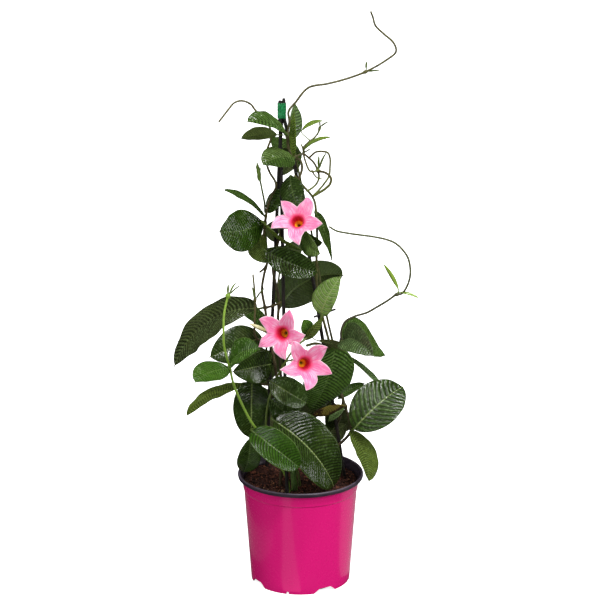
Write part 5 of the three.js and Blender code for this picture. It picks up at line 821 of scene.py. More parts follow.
def petal_material():
    m = Mat("petal", IOR=1.4, Specular_IOR_Level=0.25, Subsurface_Weight=0.12, Subsurface_Scale=0.0015, Sheen_Weight=0.12, Sheen_Roughness=0.5)
    m.b.inputs["Subsurface Radius"].default_value = (1.0, 0.55, 0.6)
    r, across, out, _ = m.attr("pa")
    back, seed, edge, _ = m.attr("pb")
    # streaks run out along the petal
    vec = m.xyz(m.mul(across, 5.2), m.mul(out, 0.75), m.mul(seed, 3.1))
    streak = m.noise(2.4, 3, 0.6, vec)
    fine = m.noise(7.5, 2, 0.6, vec)
    cloud = m.noise(120, 2, 0.5)
    pink, pale, deep = (0.84, 0.255, 0.445), (0.87, 0.50, 0.66), (0.80, 0.130, 0.325)
    base = m.mix(m.step(streak, 0.36, 0.66), m.mix(m.step(cloud, 0.36, 0.60, 0.0, 0.95), (*pink,), (*pale,)), (*deep,))
    base = m.mix(m.step(fine, 0.5, 0.8, 0.0, 0.25), base, (*pale,))
    base = m.mix(m.mul(m.step(edge, 0.05, 1.2, 0.80, 0.0), m.step(out, 0.15, 0.4, 0.25, 1.0)), base, (0.92, 0.77, 0.75))
    star = m.add(r, m.mul(m.math("ABSOLUTE", across), m.step(r, 6.0, 13.0, 0.2, 2.2)))
    star = m.add(star, m.mul(m.math("SUBTRACT", streak, 0.5), 3.0))
    base = m.mix(m.step(star, 8.4, 12.6, 0.86, 0.0), base, (0.80, 0.045, 0.16))
    base = m.mix(m.step(star, 6.8, 9.2, 0.95, 0.0), base, (0.60, 0.008, 0.055))
    base = m.mix(m.mul(back, 0.55), base, m.mix(m.step(out, 0.0, 0.5), (0.80, 0.42, 0.42), (0.93, 0.50, 0.63)))
    normal = m.bump(m.add(streak, m.mul(fine, 0.35)), 0.22, 0.0006)
    return m.finish(base, m.add(0.46, m.mul(fine, 0.12)), normal)


def throat_material():
    m = Mat("petal_throat", IOR=1.4, Specular_IOR_Level=0.3, Subsurface_Weight=0.08, Subsurface_Scale=0.001)
    r, ang, depth, _ = m.attr("pa")
    vec = m.xyz(m.mul(m.math("SINE", m.mul(ang, 6.2832)), 3.0), m.mul(m.math("COSINE", m.mul(ang, 6.2832)), 3.0), m.mul(depth, 0.12))
    streak = m.noise(3.0, 3, 0.6, vec)
    d = m.add(depth, m.mul(m.math("SUBTRACT", streak, 0.5), 1.2))
    base = m.ramp(m.step(d, 0.0, 22.0), [(0.0, (0.60, 0.010, 0.055)), (0.12, (0.56, 0.006, 0.040)), (0.30, (0.62, 0.012, 0.018)), (0.38, (0.86, 0.12, 0.012)), (0.45, (0.98, 0.50, 0.03)), (0.53, (0.95, 0.46, 0.02)), (0.60, (0.46, 0.27, 0.015)), (0.70, (0.30, 0.22, 0.02)), (1.0, (0.16, 0.12, 0.012))])
    fine = m.noise(700, 2, 0.5)
    normal = m.bump(m.add(streak, m.mul(fine, 0.4)), 0.4, 0.0006)
    return m.finish(base, m.add(0.42, m.mul(fine, 0.15)), normal)


def tube_material():
    m = Mat("petal_tube", IOR=1.4, Specular_IOR_Level=0.25, Subsurface_Weight=0.1, Subsurface_Scale=0.001)
    r, ang, depth, _ = m.attr("pa")
    vec = m.xyz(m.mul(m.math("SINE", m.mul(ang, 6.2832)), 3.0), m.mul(m.math("COSINE", m.mul(ang, 6.2832)), 3.0), m.mul(depth, 0.05))
    streak = m.noise(3.4, 3, 0.6, vec)
    base = m.ramp(m.step(depth, 0.0, 48.0), [(0.0, (0.84, 0.36, 0.46)), (0.25, (0.80, 0.40, 0.38)), (0.55, (0.66, 0.50, 0.24)), (1.0, (0.36, 0.42, 0.12))])
    base = m.mix(m.step(streak, 0.4, 0.7, 0.0, 0.4), base, (0.70, 0.16, 0.24))
    return m.finish(base, m.add(0.45, m.mul(streak, 0.1)), m.bump(streak, 0.3, 0.0005))


def bud_material():
    m = Mat("flower_bud", IOR=1.4, Specular_IOR_Level=0.3)
    s, ang, share, _ = m.attr("pa")
    twist = m.add(m.mul(ang, 6.2832), m.mul(share, 4.5))
    streak = m.noise(2.0, 2, 0.5, m.xyz(m.mul(m.math("SINE", twist), 1.6), m.mul(m.math("COSINE", twist), 1.6), m.mul(share, 0.8)))
    base = m.ramp(share, [(0.0, (0.36, 0.38, 0.12)), (0.2, (0.68, 0.64, 0.30)), (0.6, (0.80, 0.76, 0.46)), (0.9, (0.78, 0.70, 0.42)), (1.0, (0.50, 0.36, 0.16))])
    base = m.mix(m.step(streak, 0.45, 0.7, 0.0, 0.5), base, (0.50, 0.46, 0.16))
    return m.finish(base, m.add(0.42, m.mul(streak, 0.1)), m.bump(streak, 0.3, 0.0004))


def pot_material():
    m = Mat("pot_magenta", IOR=1.49, Specular_IOR_Level=0.5, Coat_Weight=0.5, Coat_Roughness=0.10, Sheen_Weight=0.25, Sheen_Roughness=0.22)
    cloud = m.noise(14, 3, 0.55, m.stretched(1, 1, 0.35))
    fine = m.noise(260, 3, 0.6)
    grain = m.noise(2600, 1, 0.5)
    base = m.mix(m.step(cloud, 0.3, 0.7), (0.690, 0.0060, 0.172), (0.760, 0.0080, 0.192))
    scuff = m.noise(45, 4, 0.6)
    r = m.add(0.27, m.mul(m.math("SUBTRACT", fine, 0.5), 0.04))
    r = m.add(r, m.mul(m.step(scuff, 0.50, 0.85), 0.06))
    normal = m.bump(cloud, 0.25, 0.002)
    normal = m.bump(m.add(m.mul(fine, 0.6), m.mul(grain, 0.08)), 0.03, 0.0003, normal)
    return m.finish(base, r, normal)


def pot_black_material():
    m = Mat("pot_black", IOR=1.49, Specular_IOR_Level=0.5)
    cloud = m.noise(40, 3, 0.6)
    fine = m.noise(700, 3, 0.6)
    dust = m.noise(180, 4, 0.7)
    base = m.mix(m.step(cloud, 0.35, 0.65), (0.024, 0.016, 0.028), (0.040, 0.028, 0.044))
    base = m.mix(m.step(dust, 0.60, 0.78, 0.0, 0.35), base, (0.055, 0.042, 0.040))
    apart = m.node("ShaderNodeSeparateXYZ")
    m.put(apart.inputs[0], m.place())
    # painted highlight: a paler band along the top edge of the rim, broken up by the dust noise
    wear_and_highlight = m.mul(m.step(apart.outputs[2], 0.1330, 0.1343), m.step(dust, 0.30, 0.60, 0.55, 0.95))
    base = m.mix(wear_and_highlight, base, (0.125, 0.100, 0.135))
    return m.finish(base, m.add(0.30, m.mul(fine, 0.22)), m.bump(fine, 0.15, 0.0003))


def soil_material():
    m = Mat("soil", IOR=1.4, Specular_IOR_Level=0.25)
    tone, dry, _, _ = m.attr("pb")
    grain = m.noise(900, 4, 0.7)
    lump = m.noise(220, 3, 0.6)
    base = m.ramp(tone, [(0.0, (0.010, 0.006, 0.005)), (0.35, (0.040, 0.016, 0.012)), (0.62, (0.085, 0.028, 0.018)), (0.82, (0.150, 0.052, 0.030)), (0.94, (0.22, 0.095, 0.050)), (1.0, (0.22, 0.15, 0.09))])
    base = m.mix(m.step(grain, 0.35, 0.7, 0.0, 0.6), base, m.scale(base, 1.9))
    base = m.mix(m.step(lump, 0.4, 0.7, 0.0, 0.5), base, m.scale(base, 0.55))
    return m.finish(base, m.add(0.78, m.mul(grain, 0.2)), m.bump(m.add(grain, lump), 0.6, 0.0008))


def cane_material():
    m = Mat("cane_black", IOR=1.47, Specular_IOR_Level=0.4)
    long = m.noise(240, 4, 0.65, m.stretched(1, 1, 0.05))
    fine = m.noise(1500, 2, 0.6, m.stretched(1, 1, 0.2))
    # worn brown patches in the canes' own colour
    wear_and_highlight = m.noise(30, 4, 0.7)
    base = m.mix(m.step(long, 0.3, 0.7), (0.006, 0.0055, 0.005), (0.022, 0.018, 0.015))
    base = m.mix(m.mul(m.step(wear_and_highlight, 0.56, 0.72), m.step(fine, 0.4, 0.6)), base, (0.060, 0.042, 0.028))
    return m.finish(base, m.add(0.36, m.mul(fine, 0.25)), m.bump(m.add(long, m.mul(fine, 0.4)), 0.35, 0.0004))


def tie_material():
    m = Mat("tie_green", IOR=1.45, Specular_IOR_Level=0.5, Coat_Weight=0.6, Coat_Roughness=0.08, Transmission_Weight=0.25)
    height, ang, _, _ = m.attr("pa")
    crease_relief_and_shade = m.noise(5.0, 3, 0.6, m.xyz(m.mul(ang, 6.0), m.mul(height, 0.16), 0.3))
    cloud = m.noise(160, 2, 0.5)
    # painted shade: darker green down in the creases, painted light paler green on the folds between them
    base = m.mix(m.step(crease_relief_and_shade, 0.34, 0.66), (0.004, 0.11, 0.030), (0.030, 0.36, 0.115))
    base = m.mix(m.step(cloud, 0.5, 0.75, 0.0, 0.4), base, (0.09, 0.52, 0.22))
    return m.finish(base, m.add(0.16, m.mul(cloud, 0.1)), m.bump(m.add(crease_relief_and_shade, m.mul(cloud, 0.3)), 0.5, 0.0008))


def dry_material():
    m = Mat("leaf_dry", IOR=1.4, Specular_IOR_Level=0.25)
    phase, y, u, _ = m.attr("pa")
    av, spacing, _, _ = m.attr("pb")
    frac = m.math("FRACT", phase)
    dist = m.mul(m.math("SUBTRACT", 0.5, m.math("ABSOLUTE", m.math("SUBTRACT", frac, 0.5))), spacing)
    vein = m.step(dist, 0.2, 0.7, 1.0, 0.0)
    blotch = m.noise(70, 4, 0.65, None, 0.6)
    fine = m.noise(800, 3, 0.6)
    base = m.ramp(blotch, [(0.0, (0.014, 0.010, 0.004)), (0.40, (0.030, 0.018, 0.006)), (0.48, (0.075, 0.045, 0.010)), (0.55, (0.22, 0.165, 0.030)), (0.68, (0.15, 0.155, 0.020)), (0.82, (0.060, 0.080, 0.010)), (1.0, (0.030, 0.050, 0.006))])
    base = m.mix(m.mul(vein, 0.5), base, (0.045, 0.020, 0.008))
    return m.finish(base, m.add(0.62, m.mul(fine, 0.2)), m.bump(m.add(fine, m.mul(vein, -0.8)), 0.6, 0.0006))


LEAF_TOP = leaf_material("leaf_upper")
LEAF_LOW = leaf_material("leaf_under", under=True)
VINE = stem_material("vine_bark", 0.6, 0.4, 0.52)
SHOOT = stem_material("green_shoot", 0.18, 0.15, 0.42)
PETIOLE = stem_material("petiole", 0.10, 0.15, 0.42)
PETAL, THROAT, TUBE, BUD = petal_material(), throat_material(), tube_material(), bud_material()
POT, BLACK, SOIL, CANE, TIE, DRY = pot_material(), pot_black_material(), soil_material(), cane_material(), tie_material(), dry_material()


# ---------------------------------------------------------------- pot
def body_radius(z):
    return BASE_RADIUS + (BODY_TOP_RADIUS - BAND_STEP - BASE_RADIUS) * z / (POT_HEIGHT - RIM_HEIGHT)


STEP_Z = POT_HEIGHT - RIM_HEIGHT - BAND_HEIGHT
LIP_Z = POT_HEIGHT - RIM_HEIGHT


def rounded(profile):
    """A profile whose corners are rounded: each entry is (r, z, corner radius, material)."""
    out = []
    n = len(profile)
    for i, (r, z, c, mat) in enumerate(profile):
        p = np.array([r, z], float)
        if c <= 0:
            out.append((p, mat))
            continue
        a, b = np.array(profile[i - 1][:2], float), np.array(profile[(i + 1) % n][:2], float)
        da, db = np.linalg.norm(a - p), np.linalg.norm(b - p)
        c = min(c, da * 0.45, db * 0.45)
        pa_, pb_ = p + (a - p) / da * c, p + (b - p) / db * c
        for t in np.linspace(0, 1, 6):
            out.append((pa_ * (1 - t) ** 2 + 2 * p * t * (1 - t) + pb_ * t * t, mat))
    return out


def lathe(piece, profile, segments, closed=True, wobble=None):
    """Turns a closed profile round Z. Points on the axis become one vertex."""
    pts = np.array([p for p, _ in profile])
    mats = [m for _, m in profile]
    ang = np.arange(segments) / segments * 2 * math.pi
    ring_at, verts = [], []
    count = 0
    for r, z in pts:
        if r < 1e-6:
            verts.append(np.array([[0, 0, z]]))
            ring_at.append((count, 1))
            count += 1
        else:
            rr = r * np.ones(segments)
            verts.append(np.stack([rr * np.sin(ang), -rr * np.cos(ang), np.full(segments, z)], 1))
            ring_at.append((count, segments))
            count += segments
    quads, tris, mq, mt = [], [], [], []
    k = np.arange(segments)
    k1 = (k + 1) % segments
    n = len(pts)
    for i in range(n if closed else n - 1):
        (a, na), (b, nb) = ring_at[i], ring_at[(i + 1) % n]
        if na == 1 and nb == 1:
            continue
        if na == 1:
            tris.append(np.stack([k * 0 + a, b + k1, b + k], -1))
            mt += [mats[i]] * segments
        elif nb == 1:
            tris.append(np.stack([a + k, a + k1, k * 0 + b], -1))
            mt += [mats[i]] * segments
        else:
            quads.append(np.stack([a + k, a + k1, b + k1, b + k], -1))
            mq += [mats[i]] * segments
    groups, mats_out = [], []
    if quads:
        groups.append(np.vstack(quads))
        mats_out += mq
    if tris:
        groups.append(np.vstack(tris))
        mats_out += mt
    piece.add(np.vstack(verts), groups, np.array(mats_out))


def make_pot():
    p = Piece("pot_shell")
    rows = [(0.0, 0.0, 0, 1), (DISC_RADIUS, 0.0, 0.6, 1), (DISC_RADIUS + 1.6, FOOT_HEIGHT, 0.6, 1), (BASE_RADIUS - WALL - 0.6, FOOT_HEIGHT, 0.5, 1),
            (BASE_RADIUS - WALL, 0.0, 0.4, 1), (BASE_RADIUS, 0.0, 0.7, 0)]
    for z in np.linspace(8, STEP_Z - 6, 12):
        rows.append((body_radius(z), z, 0, 0))
    rows += [(body_radius(STEP_Z - 1.2), STEP_Z - 1.2, 0.5, 0), (body_radius(STEP_Z) + BAND_STEP, STEP_Z, 0.5, 0),
             (BODY_TOP_RADIUS, LIP_Z, 0.5, 1), (RIM_RADIUS - 0.6, LIP_Z - 0.2, 0.7, 1), (RIM_RADIUS, LIP_Z + 1.8, 0.8, 1), (RIM_RADIUS - 0.1, POT_HEIGHT - 1.0, 0.9, 1),
             (RIM_RADIUS - 1.3, POT_HEIGHT, 0.9, 1), (RIM_RADIUS - 3.2, POT_HEIGHT - 0.8, 0.8, 1), (BODY_TOP_RADIUS - WALL, LIP_Z - 2.5, 1.2, 1),
             (body_radius(STEP_Z) + BAND_STEP - WALL, STEP_Z - 1, 0.5, 1), (body_radius(STEP_Z - 3) - WALL, STEP_Z - 3, 0.5, 1),
             (BASE_RADIUS - WALL - 0.4, FOOT_HEIGHT + WALL, 0.6, 1), (DISC_RADIUS + 0.4, FOOT_HEIGHT + WALL, 0.5, 1), (DISC_RADIUS - 1.2, WALL, 0.5, 1), (0.0, WALL, 0, 1)]
    lathe(p, rounded(rows), 240, closed=False)
    ob = p.build([POT, BLACK], ["pot"], angle=35)
    # drain cut-outs in the foot ring, with softly rounded upper corners
    cut = Piece("pot_cuts")
    for a0 in NOTCH_ANGLES:
        for a, low, high, h, c in ((a0, 30.0, 14.5, 6.4, 2.0), (a0 + 45, 3.6, 2.6, 3.0, 0.7)):
            slant = math.atan2(h, (low - high) / 2)
            run = (low - high) / 2 / h * 3.0
            outline_ = [(-low / 2 - run, -3.0), (low / 2 + run, -3.0)]
            lift = c * math.tan(slant / 2)
            outline_ += [(high / 2 + lift * math.cos(slant) * q + lift * (q - 1) * 0, h - lift * math.sin(slant) * q) for q in (1.0, 0.6)] + [(high / 2 - lift * 0.4, h - 0.06 * c), (high / 2 - lift, h)]
            outline_ += [(-x, z) for x, z in outline_[:1:-1]]
            n = len(outline_)
            ca, sa = math.cos(a * RAD), math.sin(a * RAD)
            v = []
            for y in (-DISC_RADIUS - 2, -DISC_RADIUS - 16):
                for x, z in outline_:
                    v.append((x * ca - y * sa, x * sa + y * ca, z))
            k = np.arange(n)
            sides_ = np.stack([k, (k + 1) % n, n + (k + 1) % n, n + k], -1)[:, ::-1]
            cut.add(np.array(v), [sides_, np.array([list(range(n))]), np.array([list(range(2 * n - 1, n - 1, -1))])], 1)
    me = bpy.data.meshes.new("cuts")
    me.from_pydata((np.vstack(cut.v) * MM).tolist(), [], cut.f)
    for m in (POT, BLACK):
        me.materials.append(m)
    me.polygons.foreach_set("material_index", cut.m)
    bm = bmesh.new()
    bm.from_mesh(me)
    bmesh.ops.recalc_face_normals(bm, faces=bm.faces)
    bm.to_mesh(me)
    bm.free()
    cutter = bpy.data.objects.new("cuts", me)
    bpy.context.scene.collection.objects.link(cutter)
    mod = ob.modifiers.new("cut", "BOOLEAN")
    mod.operation, mod.object, mod.solver, mod.material_mode = "DIFFERENCE", cutter, "EXACT", "INDEX"
    bpy.context.view_layer.update()
    made = bpy.data.meshes.new_from_object(ob.evaluated_get(bpy.context.evaluated_depsgraph_get()))
    ob.modifiers.clear()
    ob.data = made
    made.set_sharp_from_angle(angle=35 * RAD)
    bpy.data.objects.remove(cutter)
    return ob


# ---------------------------------------------------------------- soil
def soil_height(x, y):
    """Height of the peat above its mean surface."""
    q = np.stack([x / 16, y / 16, x * 0 + 2.5], -1)
    h = 1.2 * noise(q, 5) + 0.9 * noise(q * 2.7, 6) + 0.7 * noise(q * 7.0, 8) + 0.35 * noise(q * 17.0, 9)
    return h


def soil_top(r):
    return SOIL_TOP - SOIL_DOME * np.clip(r / 66.0, 0, 1) ** 1.6 - 0.6


def make_soil():
    p = Piece("peat")
    edge_r = 67.0
    nr, na = 84, 300
    r = np.linspace(0, 1, nr + 1)[1:] ** 0.9 * edge_r
    a = np.arange(na) / na * 2 * math.pi
    R, A = np.meshgrid(r, a, indexing="ij")
    X, Y = R * np.sin(A), -R * np.cos(A)
    calm = 1 - 0.75 * smooth(edge_r - 3, edge_r, R)
    Z = soil_top(R) + soil_height(X, Y) * calm
    top = np.stack([X, Y, Z], -1).reshape(-1, 3)
    side = [(edge_r, soil_top(edge_r) - 3), (body_radius(STEP_Z) + BAND_STEP - WALL - 0.5, STEP_Z - 0.4), (body_radius(STEP_Z - 3) - WALL - 0.45, STEP_Z - 3.4),
            (BASE_RADIUS - WALL - 0.9, FOOT_HEIGHT + WALL + 0.5), (DISC_RADIUS + 0.1, FOOT_HEIGHT + WALL + 0.5), (DISC_RADIUS - 1.5, WALL + 0.45)]
    rings = [np.stack([rr * np.sin(a), -rr * np.cos(a), np.full(na, z)], -1) for rr, z in side]
    verts = np.vstack([top, *rings, [[0, 0, float(soil_top(0) + soil_height(np.zeros(1), np.zeros(1))[0])]], [[0, 0, WALL + 0.45]]])
    rows = nr + len(side)
    i, k = np.meshgrid(np.arange(rows - 1), np.arange(na), indexing="ij")
    quads = np.stack([i * na + k, i * na + (k + 1) % na, (i + 1) * na + (k + 1) % na, (i + 1) * na + k], -1).reshape(-1, 4)[:, ::-1]
    k = np.arange(na)
    c0, c1 = rows * na, rows * na + 1
    tris = np.vstack([np.stack([k * 0 + c0, k, (k + 1) % na], -1), np.stack([k * 0 + c1, (rows - 1) * na + (k + 1) % na, (rows - 1) * na + k], -1)])
    tone = 0.34 + 0.20 * noise(verts / 2.1, 21) + 0.16 * noise(verts / 5.5, 22)
    pb = np.stack([np.clip(tone, 0.02, 0.8), tone * 0, tone * 0], -1)
    p.add(verts, [quads, tris], 0, pb=pb)
    # crumbs, bark bits and fibres on the surface
    rng = np.random.default_rng(77)
    ico = bmesh.new()
    bmesh.ops.create_icosphere(ico, subdivisions=1, radius=1.0)
    ball = np.array([v.co[:] for v in ico.verts])
    tri = np.array([[v.index for v in f.verts] for f in ico.faces])
    ico.free()
    count = 2300
    for q in range(count):
        rr = edge_r * math.sqrt(rng.uniform(0, 1)) * 0.985
        aa = rng.uniform(0, 2 * math.pi)
        x, y = rr * math.sin(aa), -rr * math.cos(aa)
        size = rng.choice([0.7, 1.0, 1.5, 2.3], p=[0.42, 0.33, 0.19, 0.06]) * rng.uniform(0.75, 1.3)
        if rr + size > edge_r:
            continue
        z = float(soil_top(rr) + soil_height(np.array([x]), np.array([y]))[0] * (1 - 0.75 * smooth(edge_r - 3, edge_r, np.array(rr))))
        long = rng.uniform(1.0, 1.5)
        if rng.uniform() < 0.12:
            long = rng.uniform(2.4, 4.5)
            size *= 0.55
        shape = ball * np.array([long, rng.uniform(0.65, 1.0), rng.uniform(0.4, 0.85)]) * size
        shape = shape * (1 + 0.28 * rng.uniform(-1, 1, (len(ball), 1)))
        m = random_turn(rng, flat=0.35)
        pts = shape @ m.T + [x, y, z + size * rng.uniform(0.0, 0.45)]
        far = np.linalg.norm(pts[:, :2], axis=1).max()
        if far > edge_r + 0.2:
            pts[:, :2] *= (edge_r + 0.1) / far
        t = rng.choice([0.15, 0.35, 0.55, 0.75, 0.9, 0.99], p=[0.2, 0.28, 0.22, 0.17, 0.10, 0.03]) + rng.uniform(-0.05, 0.01)
        p.add(pts, [tri], 0, sharp=True, pb=(float(t), 0.0, 0.0))
    return p.build([SOIL], ["soil"])


def random_turn(rng, flat=1.0):
    a, b, c = rng.uniform(-math.pi, math.pi), rng.uniform(-1, 1) * flat * 1.4, rng.uniform(-1, 1) * flat * 1.4
    ca, sa, cb, sb, cc, sc = math.cos(a), math.sin(a), math.cos(b), math.sin(b), math.cos(c), math.sin(c)
    rz = np.array([[ca, -sa, 0], [sa, ca, 0], [0, 0, 1]])
    ry = np.array([[cb, 0, sb], [0, 1, 0], [-sb, 0, cb]])
    rx = np.array([[1, 0, 0], [0, cc, -sc], [0, sc, cc]])
    return rz @ ry @ rx


# ---------------------------------------------------------------- canes, tie and peg
def make_canes():
    for k, (name, points) in enumerate(CANES.items()):
        p = Piece("stake_" + name.split("_")[1])
        pts = np.array(points, float)
        dense = [pts[0]]
        for a, b in zip(pts[:-1], pts[1:]):
            m = max(2, int(np.linalg.norm(b - a) / 3))
            dense += [a + (b - a) * q for q in np.arange(1, m + 1) / m]
        dense = np.array(dense)
        sm = dense.copy()
        for _ in range(3):
            sm[1:-1] = (sm[:-2] + sm[2:] + 2 * sm[1:-1]) / 4
        dense = sm
        n = len(dense)
        r = np.full(n, CANE_RADIUS) * (1 + 0.02 * noise1(np.arange(n) / 5.0, k + 3))
        for q in (0.21, 0.46, 0.71):  # faint nodes
            r += 0.22 * np.exp(-(((np.arange(n) / n - q + 0.03 * k) * n / 1.2) ** 2))
        r[-1] *= 0.86
        t = unit(dense[-1] - dense[-2])
        dense = np.vstack([dense, dense[-1] + t * 0.02])
        r = np.append(r, r[-1] * 0.7)
        tube(p, dense, r, 16, 0, start="flat", end="flat", rough=0.025, seed=k + 1)
        p.build([CANE], [name], angle=40)
    p = Piece("cross_peg")
    pts = curve(PEG, 1.2)
    r = np.interp(np.linspace(0, 1, len(pts)), [0, 1], [1.3, 1.2])
    tube(p, pts, r, 14, 0, start="round", end="round", rough=0.04, seed=9)
    p.build([CANE], ["cane_peg"], angle=40)


def make_tie():
    """A glossy green sleeve drawn round the three canes, slightly creased."""
    p = Piece("tie_sleeve")
    hull = []
    r_out, r_in = CANE_RADIUS + 0.75, CANE_RADIUS + 0.30

    def loop(r):
        pts = []
        for i, (x, y) in enumerate(BUNDLE):
            px, py = BUNDLE[(i + 2) % 3]
            nx, ny = BUNDLE[(i + 1) % 3]
            a0 = math.atan2(y - py, x - px) - math.pi / 2
            a1 = math.atan2(ny - y, nx - x) - math.pi / 2
            while a1 < a0:
                a1 += 2 * math.pi
            for q in np.linspace(a0, a1, 12):
                pts.append((x + r * math.cos(q), y + r * math.sin(q)))
        pts = np.array(pts + [pts[0]])
        d = np.concatenate([[0], np.cumsum(np.linalg.norm(np.diff(pts, axis=0), axis=1))])
        at = np.linspace(0, d[-1], 97)[:-1]
        return np.stack([np.interp(at, d, pts[:, 0]), np.interp(at, d, pts[:, 1])], 1)

    outer, inner = loop(r_out), loop(r_in)
    n = len(outer)
    zs = np.concatenate([[TIE_LOW, TIE_LOW + 0.15], np.linspace(TIE_LOW + 0.6, TIE_HIGH - 0.6, 30), [TIE_HIGH - 0.15, TIE_HIGH]])
    c = np.array([np.mean([b[0] for b in BUNDLE]), np.mean([b[1] for b in BUNDLE])])
    rows, pa = [], []
    ang = np.arange(n) / n
    for j, z in enumerate(zs):
        o = outer - c
        bulge = 1 + 0.018 * noise(np.stack([np.cos(ang * 6.283) * 1.1, np.sin(ang * 6.283) * 1.1, np.full(n, z / 2.6)], -1), 4) + 0.012 * np.sin(z * 1.9 + ang * 12.566)
        end = 1.0 if 0 < j < len(zs) - 1 else 0.975
        rows.append(np.column_stack([c + o * (bulge * end)[:, None], np.full(n, z)]))
        pa.append(np.column_stack([np.full(n, z - TIE_LOW), ang, ang * 0]))
    for z in zs[::-1]:
        rows.append(np.column_stack([inner, np.full(n, z)]))
        pa.append(np.column_stack([np.full(n, z - TIE_LOW), ang, ang * 0]))
    verts = np.vstack(rows)
    m = len(rows)
    i, k = np.meshgrid(np.arange(m), np.arange(n), indexing="ij")
    quads = np.stack([i * n + k, i * n + (k + 1) % n, ((i + 1) % m) * n + (k + 1) % n, ((i + 1) % m) * n + k], -1).reshape(-1, 4)
    p.add(verts, [quads], 0, pa=np.vstack(pa))
    p.build([TIE], ["cane_tie"], angle=60)


# ---------------------------------------------------------------- flowers
# Petals in the plane of the face, millimetres from the throat: the tip, and the edge on either side from the notch outwards,
# ccw the side that laps over its neighbour.
PETALS = {
    "flower_top": [{"tip": [30.67, -4.39], "ccw": [[14.72, 6.52], [23.14, 2.59], [27.55, -1.3]], "cw": [[9.93, -12.7], [13.74, -12.38], [19.92, -11.64], [25.51, -7.97]]}, {"tip": [8.64, 27.76], "ccw": [[-1.3, 15.66], [0.43, 18.59], [5.36, 23.2]], "cw": [[14.72, 6.52], [17.58, 13.77], [17.42, 19.78], [13.98, 25.25]]}, {"tip": [-20.52, 21.59], "ccw": [[-14.67, 5.6], [-17.71, 11.01], [-19.64, 16.57]], "cw": [[-1.3, 15.66], [-4.63, 18.3], [-9.42, 20.67], [-15.48, 21.98]]}, {"tip": [-28.42, -13.39], "ccw": [[-9.02, -10.09], [-16.55, -10.96], [-23.56, -12.39]], "cw": [[-14.67, 5.6], [-20.53, 4.73], [-24.62, 1.34], [-27.66, -5.63]]}, {"tip": [6.21, -31.59], "ccw": [[9.93, -12.7], [7.81, -19.76], [7.21, -26.59]], "cw": [[-9.02, -10.09], [-9.92, -14.69], [-6.67, -22.79], [0.82, -28.21]]}],
    "flower_left": [{"tip": [31.14, 2.18], "ccw": [[14.42, 6.46], [19.78, 5.71], [25.6, 3.96]], "cw": [[9.94, -11.19], [15.77, -11.65], [22.99, -8.73], [27.3, -3.6]]}, {"tip": [9.0, 29.61], "ccw": [[-3.98, 13.65], [-1.31, 18.41], [3.64, 24.11]], "cw": [[14.42, 6.46], [15.05, 12.16], [14.73, 18.47], [12.39, 24.33]]}, {"tip": [-26.74, 14.48], "ccw": [[-16.57, -0.81], [-19.68, 4.53], [-23.09, 8.93]], "cw": [[-3.98, 13.65], [-8.88, 17.45], [-16.55, 19.23], [-22.58, 17.53]]}, {"tip": [-24.97, -17.78], "ccw": [[-7.38, -14.54], [-13.38, -17.01], [-19.17, -17.86]], "cw": [[-16.57, -0.81], [-20.43, -4.25], [-23.24, -8.3], [-24.66, -13.61]]}, {"tip": [9.5, -29.46], "ccw": [[9.94, -11.19], [9.16, -17.2], [9.17, -23.12]], "cw": [[-7.38, -14.54], [-7.69, -19.81], [-2.2, -24.52], [3.37, -27.71]]}],
    "flower_right": [{"tip": [24.98, 17.9], "ccw": [[4.11, 15.66], [8.44, 20.33], [14.59, 21.51], [20.53, 20.11]], "cw": [[17.13, 2.15], [20.95, 7.32], [23.25, 12.47]]}, {"tip": [-16.11, 28.58], "ccw": [[-14.07, 6.01], [-17.77, 12.18], [-18.71, 18.45], [-18.18, 23.84]], "cw": [[4.11, 15.66], [0.12, 17.6], [-4.88, 22.93], [-10.57, 27.01]]}, {"tip": [-34.56, -2.6], "ccw": [[-6.8, -12.37], [-16.12, -13.24], [-23.01, -10.99], [-29.43, -6.48]], "cw": [[-14.07, 6.01], [-20.65, 2.83], [-27.83, 0.09]]}, {"tip": [-4.28, -29.78], "ccw": [[10.75, -13.93], [11.14, -19.34], [6.89, -25.15], [0.56, -28.92]], "cw": [[-6.8, -12.37], [-5.09, -18.35], [-4.41, -24.87]]}, {"tip": [28.21, -14.04], "ccw": [[17.13, 2.15], [20.83, -0.62], [24.59, -4.76], [26.99, -9.5]], "cw": [[10.75, -13.93], [16.61, -14.66], [22.31, -14.8]]}],
}


def flower_frame(f):
    az, el = f[3] * RAD, f[4] * RAD
    n = np.array([math.sin(az) * math.cos(el), -math.cos(az) * math.cos(el), math.sin(el)])
    s = unit(np.cross([0, 0, 1.0], n))
    return np.array(f[:3], float), n, s, np.cross(n, s)


